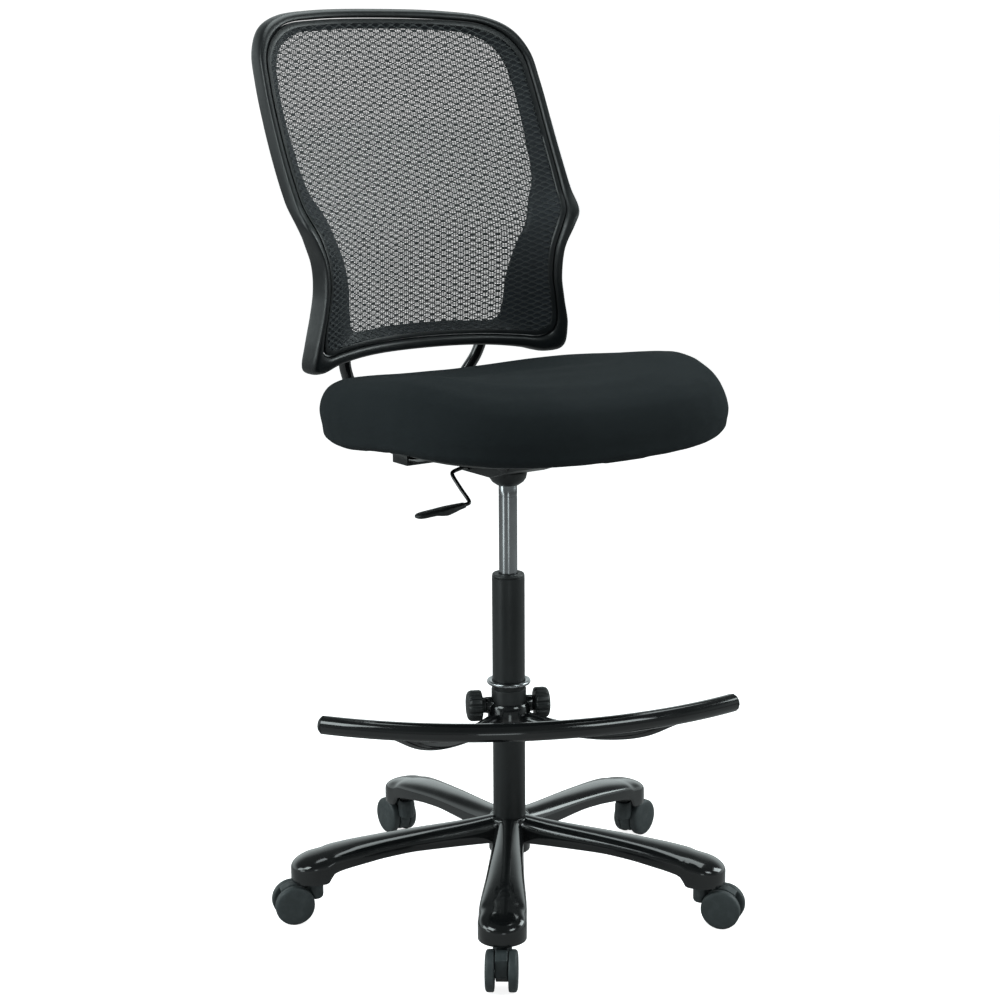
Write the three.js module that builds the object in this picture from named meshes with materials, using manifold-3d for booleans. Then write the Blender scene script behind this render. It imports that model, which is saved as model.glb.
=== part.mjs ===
// A drafting chair: a five-arm steel base on twin-wheel casters, a tall gas-lift column with a clamped
// footrest, a tilting seat with a thick cushion, and a see-through backrest of two stretched meshes.
// Units are millimetres, +Z is up, the sitter faces -Y and the sitter's left hand is on the +X side.
// Every piece is built around the column's axis with the floor at z = 0.
import * as THREE from "three";
import { mergeVertices } from "three/addons/utils/BufferGeometryUtils.js";
import Module from "manifold-3d";

const wasm = await Module();
wasm.setup();

// ---------------------------------------------------------------- driving dimensions

const GAP = 0.3; // clearance kept between pieces that touch
const DEG = Math.PI / 180;
const ROUND = 24; // facets round a large turned piece
const SMALL_ROUND = 12; // facets round a small one

// Base and casters
const ARM_COUNT = 5;
const BASE_TURN = -37; // degrees that the first arm is turned from straight ahead of the seat
const STEM_CIRCLE = 310; // column axis to caster stem
const CAP_RADIUS = 35; // round end of an arm
const CAP_BOTTOM = 65;
const ARM_WALL = 2.5; // pressed sheet
const HUB_RADIUS = 32;
const HUB_TOP = 134;
const HUB_BOTTOM = 78;
const WHEEL_RADIUS = 30;
const WHEEL_WIDTH = 14;
const HOOD_WIDTH = 18;
const CASTER_TRAIL = 33; // stem axis to wheel axle
const STEM_RADIUS = 5.5;
const AXLE_RADIUS = 4;

// Column and gas lift
const COLUMN_RADIUS = 25;
const COLUMN_BORE = 22.3;
const COLUMN_BOTTOM = 76;
const COLUMN_TOP = 516;
const CYLINDER_RADIUS = 14;
const CYLINDER_BOTTOM = 262;
const CYLINDER_TOP = 684;
const ROD_RADIUS = 5;
const BUTTON_RADIUS = 4;

// Footrest
const REST_TURN = -25.8; // degrees that the footrest is turned from the seat
const REST_BAR_RADIUS = 13.4;
const REST_BAR_BEND = 597; // radius of the bowed bar
const REST_BAR_REACH = 280; // column axis to the middle of the bar
const REST_BAR_HALF_ANGLE = 30;
const REST_BAR_HEIGHT = 361;
const REST_ARM_RADIUS = 11;
const REST_HUB_RADIUS = 33;
const REST_HUB_BOTTOM = 272;
const REST_HUB_TOP = 318;
const REST_KNOB_HEIGHT = 313;
const REST_KNOB_RADIUS = 24;
const STOP_RING_HEIGHT = 349;

// Seat
const SEAT_HALF_WIDTH = 276;
const SEAT_HALF_DEPTH = 265;
const SEAT_CENTRE_Y = -40;
const PAN_BOTTOM = 724;
const PAN_TOP = 740;
const PAD_DROP = 2; // how far the armrest pads stand out below the pan
const PAN_ROUNDNESS = 0.9; // nearer an oval in plan than the cushion
const CUSHION_BOTTOM = 740.6; // where the foam rests on the pan
const RIM_BOTTOM = 732; // the cushion's rim hangs round the pan, lowest at the rear

// Tilt mechanism
const PIVOT_Y = -60;
const PIVOT_Z = 707;
const HOUSING_HALF_WIDTH = 50;
const HOUSING_BOTTOM = 678;
const PLATE_TOP = 723.6;
const SHEET = 3; // thickness of the mechanism's steel
const LEVER_Y = 29.5;
const LEVER_PIVOT_Z = 687.6;
const LEVER_RADIUS = 3;

// Back
const BACK_BAR_RADIUS = 9.5;
const MESH_THICKNESS = 1.6;

// ---------------------------------------------------------------- materials

const steelBlack = { color: 0x0b0c0d, roughness: 0.22, metalness: 0.4 };
const satinBlack = { color: 0x14171a, roughness: 0.42, metalness: 0.2 };
const brightSteel = { color: 0x9a9c9e, roughness: 0.25, metalness: 1 };
const hardPlastic = { color: 0x2b2f31, roughness: 0.6, metalness: 0 };
const treadPlastic = { color: 0x34393b, roughness: 0.7, metalness: 0 };
const framePlastic = { color: 0x1b1f21, roughness: 0.5, metalness: 0 };
const meshCloth = { color: 0x55595c, roughness: 0.9, metalness: 0 };
const seatCloth = { color: 0x232829, roughness: 0.95, metalness: 0 };

// ---------------------------------------------------------------- solids and booleans

// A closed geometry as a manifold-3d solid with its faces pointing out.
function solid(geometry) {
  const bare = geometry.clone();
  bare.deleteAttribute("normal");
  bare.deleteAttribute("uv");
  const merged = mergeVertices(bare, 1e-3);
  const vertProperties = merged.attributes.position.array;
  const triVerts = new Uint32Array(merged.index.array);
  const made = new wasm.Manifold(new wasm.Mesh({ numProp: 3, vertProperties, triVerts }));
  if (made.volume() > 0) return made;
  const turned = triVerts.slice();
  for (let i = 0; i < turned.length; i += 3) {
    turned[i + 1] = triVerts[i + 2];
    turned[i + 2] = triVerts[i + 1];
  }
  return new wasm.Manifold(new wasm.Mesh({ numProp: 3, vertProperties, triVerts: turned }));
}

function join(...geometries) {
  return geometries.map(solid).reduce((sum, next) => sum.add(next));
}

function cut(body, ...tools) {
  const first = body instanceof THREE.BufferGeometry ? solid(body) : body;
  return tools.map(solid).reduce((rest, tool) => rest.subtract(tool), first);
}

// A manifold-3d solid as a flat-shaded three.js geometry.
function geometryOf(manifold) {
  const { vertProperties, triVerts, numProp } = manifold.getMesh();
  const positions = new Float32Array((vertProperties.length / numProp) * 3);
  for (let i = 0; i < positions.length / 3; i++) {
    for (let k = 0; k < 3; k++) positions[i * 3 + k] = vertProperties[i * numProp + k];
  }
  const geometry = new THREE.BufferGeometry();
  geometry.setAttribute("position", new THREE.BufferAttribute(positions, 3));
  geometry.setIndex(new THREE.BufferAttribute(new Uint32Array(triVerts), 1));
  const flat = geometry.toNonIndexed();
  flat.computeVertexNormals();
  return flat;
}

function piece(name, shape, material) {
  const body = shape instanceof THREE.BufferGeometry ? solid(shape) : shape;
  const mesh = new THREE.Mesh(geometryOf(body), new THREE.MeshStandardMaterial(material));
  mesh.name = name;
  return mesh;
}

function group(turnDegrees, ...members) {
  const made = new THREE.Group();
  made.rotation.z = turnDegrees * DEG;
  made.add(...members);
  return made;
}

// ---------------------------------------------------------------- basic shapes

// A turned piece about the Z axis from [radius, height] pairs.
function turned(profile, facets = ROUND) {
  const points = profile.map(([radius, height]) => new THREE.Vector2(radius, height));
  return new THREE.LatheGeometry(points, facets).rotateX(90 * DEG);
}

// A turned tube: the profile goes round the tube's wall once and closes on itself.
function ring(inner, outer, bottom, top, facets = ROUND) {
  return turned([[inner, bottom], [outer, bottom], [outer, top], [inner, top], [inner, bottom]], facets);
}

function rod(radius, bottom, top, facets = SMALL_ROUND) {
  const cylinder = new THREE.CylinderGeometry(radius, radius, top - bottom, facets);
  return cylinder.rotateX(90 * DEG).translate(0, 0, (bottom + top) / 2);
}

// A round bar along X from x0 to x1.
function crossRod(radius, x0, x1, y, z, facets = SMALL_ROUND) {
  const cylinder = new THREE.CylinderGeometry(radius, radius, x1 - x0, facets);
  return cylinder.rotateZ(90 * DEG).translate((x0 + x1) / 2, y, z);
}

function box(x0, x1, y0, y1, z0, z1) {
  const made = new THREE.BoxGeometry(x1 - x0, y1 - y0, z1 - z0);
  return made.translate((x0 + x1) / 2, (y0 + y1) / 2, (z0 + z1) / 2);
}

// An outline of [y, z] pairs in the side view, extruded from x0 to x1.
function sideExtrusion(outline, x0, x1) {
  const shape = new THREE.Shape(outline.map(([y, z]) => new THREE.Vector2(y, z)));
  const made = new THREE.ExtrudeGeometry(shape, { depth: x1 - x0, bevelEnabled: false });
  const axes = new THREE.Matrix4().makeBasis(
    new THREE.Vector3(0, 1, 0),
    new THREE.Vector3(0, 0, 1),
    new THREE.Vector3(1, 0, 0),
  );
  return made.applyMatrix4(axes).translate(x0, 0, 0);
}

// A solid skin over rings of equal point counts; the two ends are closed with a fan.
function loft(rings) {
  const count = rings[0].length;
  const positions = rings.flat().flatMap((p) => [p.x, p.y, p.z]);
  const index = [];
  for (let r = 0; r < rings.length - 1; r++) {
    for (let i = 0; i < count; i++) {
      const a = r * count + i;
      const b = r * count + ((i + 1) % count);
      index.push(a, b, a + count, b, b + count, a + count);
    }
  }
  [0, rings.length - 1].forEach((r, end) => {
    const middle = rings[r].reduce((sum, p) => sum.add(p), new THREE.Vector3()).divideScalar(count);
    const hub = positions.length / 3;
    positions.push(middle.x, middle.y, middle.z);
    for (let i = 0; i < count; i++) {
      const a = r * count + i;
      const b = r * count + ((i + 1) % count);
      index.push(...(end ? [hub, a, b] : [hub, b, a]));
    }
  });
  return bareGeometry(positions, index);
}

// A skin over rings where the last ring joins the first again.
function loopLoft(rings) {
  const count = rings[0].length;
  const positions = rings.flat().flatMap((p) => [p.x, p.y, p.z]);
  const index = [];
  for (let r = 0; r < rings.length; r++) {
    const next = (r + 1) % rings.length;
    for (let i = 0; i < count; i++) {
      const j = (i + 1) % count;
      index.push(r * count + i, r * count + j, next * count + i);
      index.push(r * count + j, next * count + j, next * count + i);
    }
  }
  return bareGeometry(positions, index);
}

function bareGeometry(positions, index) {
  const geometry = new THREE.BufferGeometry();
  geometry.setAttribute("position", new THREE.BufferAttribute(new Float32Array(positions), 3));
  geometry.setIndex(index);
  return geometry;
}

// A round tube or rod along a smooth path through the points.
function bentRod(points, radius, sides, steps, tension = 0.5) {
  const path = new THREE.CatmullRomCurve3(
    points.map(([x, y, z]) => new THREE.Vector3(x, y, z)),
    false,
    "catmullrom",
    tension,
  );
  const section = new THREE.Shape();
  for (let i = 0; i < sides; i++) {
    const angle = (i / sides) * 2 * Math.PI;
    const corner = [radius * Math.cos(angle), radius * Math.sin(angle)];
    if (i === 0) section.moveTo(...corner);
    else section.lineTo(...corner);
  }
  section.closePath();
  return new THREE.ExtrudeGeometry(section, { steps, bevelEnabled: false, extrudePath: path });
}

// Straight-line blend through [at, value] pairs.
function blend(at, pairs) {
  if (at <= pairs[0][0]) return pairs[0][1];
  for (let i = 1; i < pairs.length; i++) {
    const [x0, v0] = pairs[i - 1];
    const [x1, v1] = pairs[i];
    if (at <= x1) return v0 + ((v1 - v0) * (at - x0)) / (x1 - x0);
  }
  return pairs[pairs.length - 1][1];
}

// ---------------------------------------------------------------- star base

// Width, underside and crown height of an arm, by distance from the column.
const ARM_STATIONS = [
  { at: 20, width: 46, bottom: 98, crown: 136 },
  { at: 70, width: 48, bottom: 99, crown: 130.5 },
  { at: 150, width: 53, bottom: 99.5, crown: 125 },
  { at: 200, width: 57.5, bottom: 96, crown: 121 },
  { at: 245, width: 64.5, bottom: 90, crown: 116.5 },
  { at: 275, width: 68, bottom: 84, crown: 112 },
  { at: 300, width: 69, bottom: 77, crown: 106.5 },
];

// Half of an arm's section, as parts of its half width and its height, from the skirt to the crown.
const ARM_SECTION = [
  [1, 0],
  [1, 0.3],
  [0.93, 0.5],
  [0.76, 0.68],
  [0.46, 0.88],
  [0.2, 0.98],
];

function armRing({ at, width, bottom, crown }, wall) {
  const half = width / 2 - wall;
  const height = crown - wall - bottom;
  const right = ARM_SECTION.map(([u, v]) => new THREE.Vector3(half * u, -at, bottom + height * v));
  const left = right.map((p) => new THREE.Vector3(-p.x, p.y, p.z)).reverse();
  const skirtDrop = wall > 0 ? 60 : 0;
  if (skirtDrop) {
    right[0].z -= skirtDrop;
    left[left.length - 1].z -= skirtDrop;
  }
  return [...right, ...left];
}

const CAP_PROFILE = [
  [0, CAP_BOTTOM],
  [CAP_RADIUS - 1.5, CAP_BOTTOM],
  [CAP_RADIUS, CAP_BOTTOM + 2],
  [CAP_RADIUS, 87],
  [CAP_RADIUS - 3.5, 93],
  [CAP_RADIUS - 14, 100],
  [0, 104.5],
];

function armShell() {
  const cap = turned(CAP_PROFILE, 18).translate(0, -STEM_CIRCLE, 0);
  const outside = join(loft(ARM_STATIONS.map((s) => armRing(s, 0))), cap);
  const hollowTop = 84;
  const capHollow = turned([
    [0, CAP_BOTTOM - 5],
    [CAP_RADIUS - ARM_WALL, CAP_BOTTOM - 5],
    [CAP_RADIUS - ARM_WALL, hollowTop],
    [CAP_RADIUS - 14, 95],
    [0, 100],
  ], SMALL_ROUND).translate(0, -STEM_CIRCLE, 0);
  const socket = rod(11, CAP_BOTTOM + 1, 102).translate(0, -STEM_CIRCLE, 0);
  const stemBore = rod(STEM_RADIUS + GAP, CAP_BOTTOM - 6, 96).translate(0, -STEM_CIRCLE, 0);
  const hollowStations = ARM_STATIONS.filter((_, i) => i % 2 === 0);
  const hollow = join(loft(hollowStations.map((s) => armRing(s, ARM_WALL))), capHollow);
  return outside.subtract(hollow).add(solid(socket)).subtract(solid(stemBore));
}

function starBase() {
  const arm = armShell();
  const hub = turned([
    [0, HUB_BOTTOM],
    [HUB_RADIUS - 2, HUB_BOTTOM],
    [HUB_RADIUS, HUB_BOTTOM + 2],
    [HUB_RADIUS, HUB_TOP - 4],
    [HUB_RADIUS - 4, HUB_TOP],
    [0, HUB_TOP],
  ]);
  let body = solid(hub);
  for (let i = 0; i < ARM_COUNT; i++) body = body.add(arm.rotate([0, 0, (360 / ARM_COUNT) * i]));
  const bore = rod(COLUMN_RADIUS + GAP, HUB_BOTTOM - 30, HUB_TOP + 30, ROUND);
  return group(BASE_TURN, piece("star_base", body.subtract(solid(bore)), steelBlack));
}

// ---------------------------------------------------------------- casters

// One wheel, its axis along X, its outer face on the +X side.
function wheelShape() {
  const half = WHEEL_WIDTH / 2;
  const profile = [
    [AXLE_RADIUS + GAP, -half],
    [WHEEL_RADIUS - 2, -half],
    [WHEEL_RADIUS, -half + 2],
    [WHEEL_RADIUS, half - 6],
    [WHEEL_RADIUS - 3, half - 1.5],
    [WHEEL_RADIUS - 9, half],
    [AXLE_RADIUS + GAP, half],
    [AXLE_RADIUS + GAP, -half],
  ];
  return turned(profile, 18).rotateY(90 * DEG);
}

// The body between the wheels: a quarter disc over the axle, with a round seat for the stem.
function hoodShape() {
  const reach = WHEEL_RADIUS + 1;
  const outline = [];
  for (let i = 0; i <= 6; i++) {
    const angle = (-38 + i * 28) * DEG;
    outline.push([-CASTER_TRAIL + reach * Math.cos(angle), WHEEL_RADIUS + reach * Math.sin(angle)]);
  }
  outline.push([-CASTER_TRAIL - 12, WHEEL_RADIUS - 6]);
  outline.push([-CASTER_TRAIL + 10, 8]);
  const web = sideExtrusion(outline, -HOOD_WIDTH / 2, HOOD_WIDTH / 2);
  const collar = turned([[0, 34], [12, 34], [14, 38], [14, 58], [12, 64], [0, 64]], SMALL_ROUND);
  const clearOfWheels = [-1, 1].map((side) =>
    crossRod(WHEEL_RADIUS + 1, ...sorted(side * (HOOD_WIDTH / 2), side * 60), -CASTER_TRAIL, WHEEL_RADIUS, 16),
  );
  const stemBore = rod(STEM_RADIUS + GAP, 44, 70);
  const axleBore = crossRod(AXLE_RADIUS + GAP, -20, 20, -CASTER_TRAIL, WHEEL_RADIUS);
  return cut(join(web, collar), ...clearOfWheels, stemBore, axleBore);
}

function sorted(a, b) {
  return a < b ? [a, b] : [b, a];
}

function caster(number) {
  const name = (what) => `caster_${number}_${what}`;
  const wheelOffset = HOOD_WIDTH / 2 + 1 + WHEEL_WIDTH / 2;
  const stem = turned([
    [0, 44.5],
    [STEM_RADIUS, 44.5],
    [STEM_RADIUS, 62.3],
    [STEM_RADIUS, 94],
    [STEM_RADIUS - 1, 95.5],
    [0, 95.5],
  ], SMALL_ROUND);
  const wheels = [1, -1].map((side) => {
    const wheel = wheelShape();
    if (side < 0) wheel.rotateZ(180 * DEG);
    wheel.translate(side * wheelOffset, -CASTER_TRAIL, WHEEL_RADIUS);
    return piece(name(side > 0 ? "wheel_left" : "wheel_right"), wheel, treadPlastic);
  });
  const parts = [
    piece(name("stem"), stem, brightSteel),
    piece(name("hood"), hoodShape(), hardPlastic),
    piece(name("axle"), crossRod(AXLE_RADIUS, -22, 22, -CASTER_TRAIL, WHEEL_RADIUS), brightSteel),
    ...wheels,
  ];
  parts.forEach((part) => part.position.set(0, -STEM_CIRCLE, 0));
  return group(BASE_TURN + (360 / ARM_COUNT) * (number - 1), ...parts);
}

// ---------------------------------------------------------------- column and gas lift

function column() {
  const floorThickness = 4;
  const endBore = ROD_RADIUS + 1;
  const tube = turned([
    [endBore, COLUMN_BOTTOM],
    [COLUMN_RADIUS - 1, COLUMN_BOTTOM],
    [COLUMN_RADIUS, COLUMN_BOTTOM + 8],
    [COLUMN_RADIUS, COLUMN_TOP],
    [COLUMN_BORE, COLUMN_TOP],
    [COLUMN_BORE, COLUMN_BOTTOM + floorThickness],
    [endBore, COLUMN_BOTTOM + floorThickness],
    [endBore, COLUMN_BOTTOM],
  ]);
  const bush = turned([
    [CYLINDER_RADIUS + GAP, COLUMN_TOP - 70],
    [COLUMN_BORE - GAP, COLUMN_TOP - 70],
    [COLUMN_BORE - GAP, COLUMN_TOP + GAP],
    [COLUMN_RADIUS - 0.2, COLUMN_TOP + GAP],
    [COLUMN_RADIUS - 0.8, COLUMN_TOP + 4],
    [CYLINDER_RADIUS + 2, COLUMN_TOP + 5],
    [CYLINDER_RADIUS + GAP, COLUMN_TOP + 4],
    [CYLINDER_RADIUS + GAP, COLUMN_TOP - 70],
  ]);
  const pistonRod = turned([
    [0, COLUMN_BOTTOM - 12],
    [ROD_RADIUS - 1, COLUMN_BOTTOM - 12],
    [ROD_RADIUS, COLUMN_BOTTOM - 11],
    [ROD_RADIUS, 420],
    [0, 420],
  ], SMALL_ROUND);
  const bearingBottom = COLUMN_BOTTOM + floorThickness + GAP;
  return [
    piece("column_tube", tube, satinBlack),
    piece("guide_bush", bush, hardPlastic),
    piece("piston_rod", pistonRod, brightSteel),
    piece("thrust_bearing", ring(ROD_RADIUS + GAP, 14, bearingBottom, bearingBottom + 8), brightSteel),
    piece("retaining_clip", ring(ROD_RADIUS + GAP, 10, COLUMN_BOTTOM - 5, COLUMN_BOTTOM - GAP), brightSteel),
  ];
}

function gasLift() {
  const boreRadius = ROD_RADIUS + 0.6;
  const boreTop = 640;
  const body = turned([
    [0, CYLINDER_BOTTOM],
    [CYLINDER_RADIUS - 1, CYLINDER_BOTTOM],
    [CYLINDER_RADIUS, CYLINDER_BOTTOM + 1],
    [CYLINDER_RADIUS, CYLINDER_TOP - 40],
    [CYLINDER_RADIUS - 1, CYLINDER_TOP],
    [0, CYLINDER_TOP],
  ]);
  const rodBore = rod(boreRadius, CYLINDER_BOTTOM - 5, boreTop);
  const buttonBore = rod(BUTTON_RADIUS + GAP, CYLINDER_TOP - 14, CYLINDER_TOP + 5);
  const button = turned([
    [0, CYLINDER_TOP - 8],
    [BUTTON_RADIUS, CYLINDER_TOP - 8],
    [BUTTON_RADIUS, CYLINDER_TOP + 4],
    [BUTTON_RADIUS - 1, CYLINDER_TOP + 5],
    [0, CYLINDER_TOP + 5],
  ], SMALL_ROUND);
  return [
    piece("gas_cylinder", cut(body, rodBore, buttonBore), brightSteel),
    piece("release_button", button, brightSteel),
  ];
}

// ---------------------------------------------------------------- footrest

// A point on the bowed bar's centre line, by its angle from the middle.
function barPoint(angleDegrees) {
  const angle = angleDegrees * DEG;
  const x = REST_BAR_BEND * Math.sin(angle);
  const y = -REST_BAR_REACH + REST_BAR_BEND * (1 - Math.cos(angle));
  return [x, y, REST_BAR_HEIGHT];
}

function barPoints(fromAngle, toAngle, steps) {
  return Array.from({ length: steps + 1 }, (_, i) => barPoint(fromAngle + ((toAngle - fromAngle) * i) / steps));
}

// A piece drawn along +Z at the origin, moved to an end of the bar and pointed along it.
function atBarEnd(geometry, side) {
  const angle = side * REST_BAR_HALF_ANGLE;
  const along = new THREE.Vector3(side * Math.cos(angle * DEG), side * Math.sin(angle * DEG), 0);
  geometry.applyQuaternion(new THREE.Quaternion().setFromUnitVectors(new THREE.Vector3(0, 0, 1), along));
  return geometry.translate(...barPoint(angle));
}

function barCap(side) {
  const plug = REST_BAR_RADIUS - 4;
  return atBarEnd(turned([
    [0, -14],
    [plug - 0.5, -14],
    [plug, 0.6],
    [REST_BAR_RADIUS, 0.6],
    [REST_BAR_RADIUS, 2.5],
    [REST_BAR_RADIUS - 3.5, 6],
    [0, 7.5],
  ], SMALL_ROUND), side);
}

// A round bar along the bow; extra degrees make it run past both ends.
function barTube(radius, sides, extra = 0) {
  const angle = REST_BAR_HALF_ANGLE + extra;
  return bentRod(barPoints(-angle, angle, 36), radius, sides, 18);
}

function footrestBar() {
  return piece("footrest_bar", cut(barTube(REST_BAR_RADIUS, 14), barTube(REST_BAR_RADIUS - 2, 10, 1)), steelBlack);
}

// A support dips away from the collar and sweeps up into the back of the bar.
function footrestSupport(side) {
  const [endX, endY] = barPoint(side * 19.5);
  const path = [
    [side * 24, -18, 294],
    [side * 62, -70, 295],
    [side * 120, -150, 309],
    [side * 165, -212, 332],
    [endX, endY, REST_BAR_HEIGHT - 3],
  ];
  const collar = rod(REST_HUB_RADIUS + GAP, REST_HUB_BOTTOM - 20, REST_HUB_TOP + 20, ROUND);
  const whole = cut(bentRod(path, REST_ARM_RADIUS, 10, 12), barTube(REST_BAR_RADIUS + GAP, 14), collar);
  return piece(side > 0 ? "footrest_support_left" : "footrest_support_right", largest(whole), steelBlack);
}

// The biggest separate body of a solid that a cut has split.
function largest(manifold) {
  const bodies = manifold.decompose();
  return bodies.reduce((best, body) => (body.volume() > best.volume() ? body : best));
}

// A fluted ring round the Z axis, at a share of the knob's full radius.
function flutedRing(share, height) {
  const lobes = 12;
  const corners = lobes * 2;
  return Array.from({ length: corners }, (_, i) => {
    const angle = (i / corners) * 2 * Math.PI;
    const radius = share * (REST_KNOB_RADIUS - 1.2 + 1.2 * Math.cos(lobes * angle));
    return new THREE.Vector3(radius * Math.cos(angle), radius * Math.sin(angle), height);
  });
}

// A long domed clamp knob on its stud; out is how far it is unscrewed.
function footrestKnob(side, out) {
  const profile = [[0.72, 38.5], [1, 41], [1, 56], [0.9, 60], [0.62, 62.8], [0.25, 63.6]];
  const grip = loft(profile.map(([share, height]) => flutedRing(share, height + out)));
  const neck = rod(12, 36.4, 39.5 + out);
  const stud = rod(4, 27.6, 44 + out);
  const knob = geometryOf(join(grip, neck, stud));
  knob.rotateY(side * 90 * DEG).translate(0, 0, REST_KNOB_HEIGHT);
  return piece(side > 0 ? "footrest_knob_left" : "footrest_knob_right", knob, hardPlastic);
}

function footrestHub() {
  const sleeve = COLUMN_RADIUS + 2.1;
  const body = turned([
    [0, REST_HUB_BOTTOM],
    [REST_HUB_RADIUS - 1, REST_HUB_BOTTOM],
    [REST_HUB_RADIUS, REST_HUB_BOTTOM + 1],
    [REST_HUB_RADIUS, REST_HUB_TOP - 5],
    [REST_HUB_RADIUS - 3, REST_HUB_TOP],
    [0, REST_HUB_TOP],
  ]);
  const bosses = crossRod(13, -36, 36, 0, REST_KNOB_HEIGHT);
  const bore = rod(sleeve, REST_HUB_BOTTOM - 10, REST_HUB_TOP + 20, ROUND);
  const studBore = crossRod(4 + GAP, -60, 60, 0, REST_KNOB_HEIGHT);
  return piece("footrest_hub", cut(join(body, bosses), bore, studBore), steelBlack);
}

function footrest() {
  const sleeveOuter = COLUMN_RADIUS + 1.8;
  const sleeve = turned([
    [COLUMN_RADIUS + GAP, REST_HUB_BOTTOM - 2],
    [sleeveOuter, REST_HUB_BOTTOM - 2],
    [sleeveOuter, REST_HUB_TOP + 21],
    [COLUMN_RADIUS + GAP, REST_HUB_TOP + 22],
    [COLUMN_RADIUS + GAP, REST_HUB_BOTTOM - 2],
  ]);
  const stop = turned([
    [COLUMN_RADIUS + GAP, STOP_RING_HEIGHT - 2],
    [32, STOP_RING_HEIGHT - 2],
    [33.5, STOP_RING_HEIGHT],
    [33.5, STOP_RING_HEIGHT + 2],
    [32, STOP_RING_HEIGHT + 4],
    [COLUMN_RADIUS + GAP, STOP_RING_HEIGHT + 4],
    [COLUMN_RADIUS + GAP, STOP_RING_HEIGHT - 2],
  ]);
  return [
    piece("footrest_stop_ring", stop, brightSteel),
    piece("footrest_sleeve", sleeve, hardPlastic),
    group(
      REST_TURN,
      footrestHub(),
      footrestBar(),
      footrestSupport(1),
      footrestSupport(-1),
      piece("footrest_cap_left", barCap(1), hardPlastic),
      piece("footrest_cap_right", barCap(-1), hardPlastic),
      footrestKnob(1, 0),
      footrestKnob(-1, 3),
    ),
  ];
}

// ---------------------------------------------------------------- tilt mechanism

// The steel tray that the gas cylinder carries: low behind the pivot, where the seat comes down.
function housing() {
  const half = HOUSING_HALF_WIDTH;
  const outline = [
    [-78, 702],
    [-70, 693],
    [-24, HOUSING_BOTTOM],
    [50, HOUSING_BOTTOM],
    [56, 682],
    [56, 688],
    [-38, 712],
    [-52, 717],
    [-72, 717],
    [-78, 711],
  ];
  const tray = sideExtrusion(outline, -half, half);
  const inside = [
    [-75, 704],
    [-68, 697],
    [-23, HOUSING_BOTTOM + SHEET],
    [53, HOUSING_BOTTOM + SHEET],
    [53, 740],
    [-75, 740],
  ];
  const hollow = sideExtrusion(inside, -half + SHEET, half - SHEET);
  const dome = turned([
    [0, 658],
    [17, 658],
    [24, 663],
    [28, 669],
    [30, 678.5],
    [20, 682],
    [19, CYLINDER_TOP - 2],
    [0, CYLINDER_TOP - 2],
  ]);
  const socketBore = rod(CYLINDER_RADIUS + GAP, 650, 700, ROUND);
  const pinBore = crossRod(6 + GAP, -80, 80, PIVOT_Y, PIVOT_Z);
  const leverSlot = box(-60, -40, LEVER_Y - 4, LEVER_Y + 4, LEVER_PIVOT_Z - 6, 720);
  const body = cut(tray, hollow).add(solid(dome));
  return piece("mechanism_housing", cut(body, socketBore, pinBore, leverSlot), satinBlack);
}

// The upper plate: a flat top under the seat, with an ear on each side for the pivot pin.
function seatPlate() {
  const ear = HOUSING_HALF_WIDTH + 1.5;
  const top = box(-75, 75, -100, 112, PLATE_TOP - SHEET, PLATE_TOP);
  const earOutline = [
    [PIVOT_Y - 26, PLATE_TOP - 1],
    [PIVOT_Y - 12, 696],
    [PIVOT_Y, 693],
    [PIVOT_Y + 12, 696],
    [PIVOT_Y + 30, PLATE_TOP - 1],
  ];
  const ears = [-1, 1].map((side) => sideExtrusion(earOutline, ...sorted(side * ear, side * (ear + SHEET))));
  const pinBore = crossRod(5 + GAP, -80, 80, PIVOT_Y, PIVOT_Z);
  return piece("seat_plate", cut(join(top, ...ears), pinBore), satinBlack);
}

function tiltSpring() {
  const coil = ring(8, 9.2, -30, 30, 20);
  return coil.rotateY(90 * DEG).translate(0, PIVOT_Y, PIVOT_Z);
}

function lever() {
  const bendX = -82.5;
  const path = [
    [0, 0, 692.6],
    [-16, 4, 692.2],
    [-34, 24, 688.5],
    [-44, LEVER_Y, LEVER_PIVOT_Z],
    [-62, LEVER_Y, 686],
    [bendX + 3, LEVER_Y, 681.5],
    [bendX, LEVER_Y - 3, 679],
    [bendX, 4, 661],
    [bendX, -18, 645.5],
    [bendX - 3, -21.3, 643.5],
    [-100, -21.3, 641.5],
  ];
  const paddlePlan = new THREE.Shape();
  paddlePlan.moveTo(0, -6);
  paddlePlan.quadraticCurveTo(-10, -12, -40, -12);
  paddlePlan.absarc(-73, 0, 12, -90 * DEG, -270 * DEG, true);
  paddlePlan.quadraticCurveTo(-10, 12, 0, 6);
  paddlePlan.closePath();
  const paddle = new THREE.ExtrudeGeometry(paddlePlan, {
    depth: 4,
    bevelEnabled: true,
    bevelThickness: 2.5,
    bevelSize: 2,
    bevelOffset: -2,
    bevelSegments: 1,
    curveSegments: 8,
  });
  paddle.translate(-1, 0, -2).rotateY(-4.5 * DEG).translate(-93, -21.3, 641.8);
  const rodBore = bentRod([[-80, -21.3, 643.8], [-101, -21.3, 641.4]], LEVER_RADIUS + GAP, 8, 2);
  return [
    piece("lever_rod", bentRod(path, LEVER_RADIUS, 6, 30, 0.3), steelBlack),
    piece("lever_paddle", cut(paddle, rodBore), hardPlastic),
  ];
}

// ---------------------------------------------------------------- seat

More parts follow.
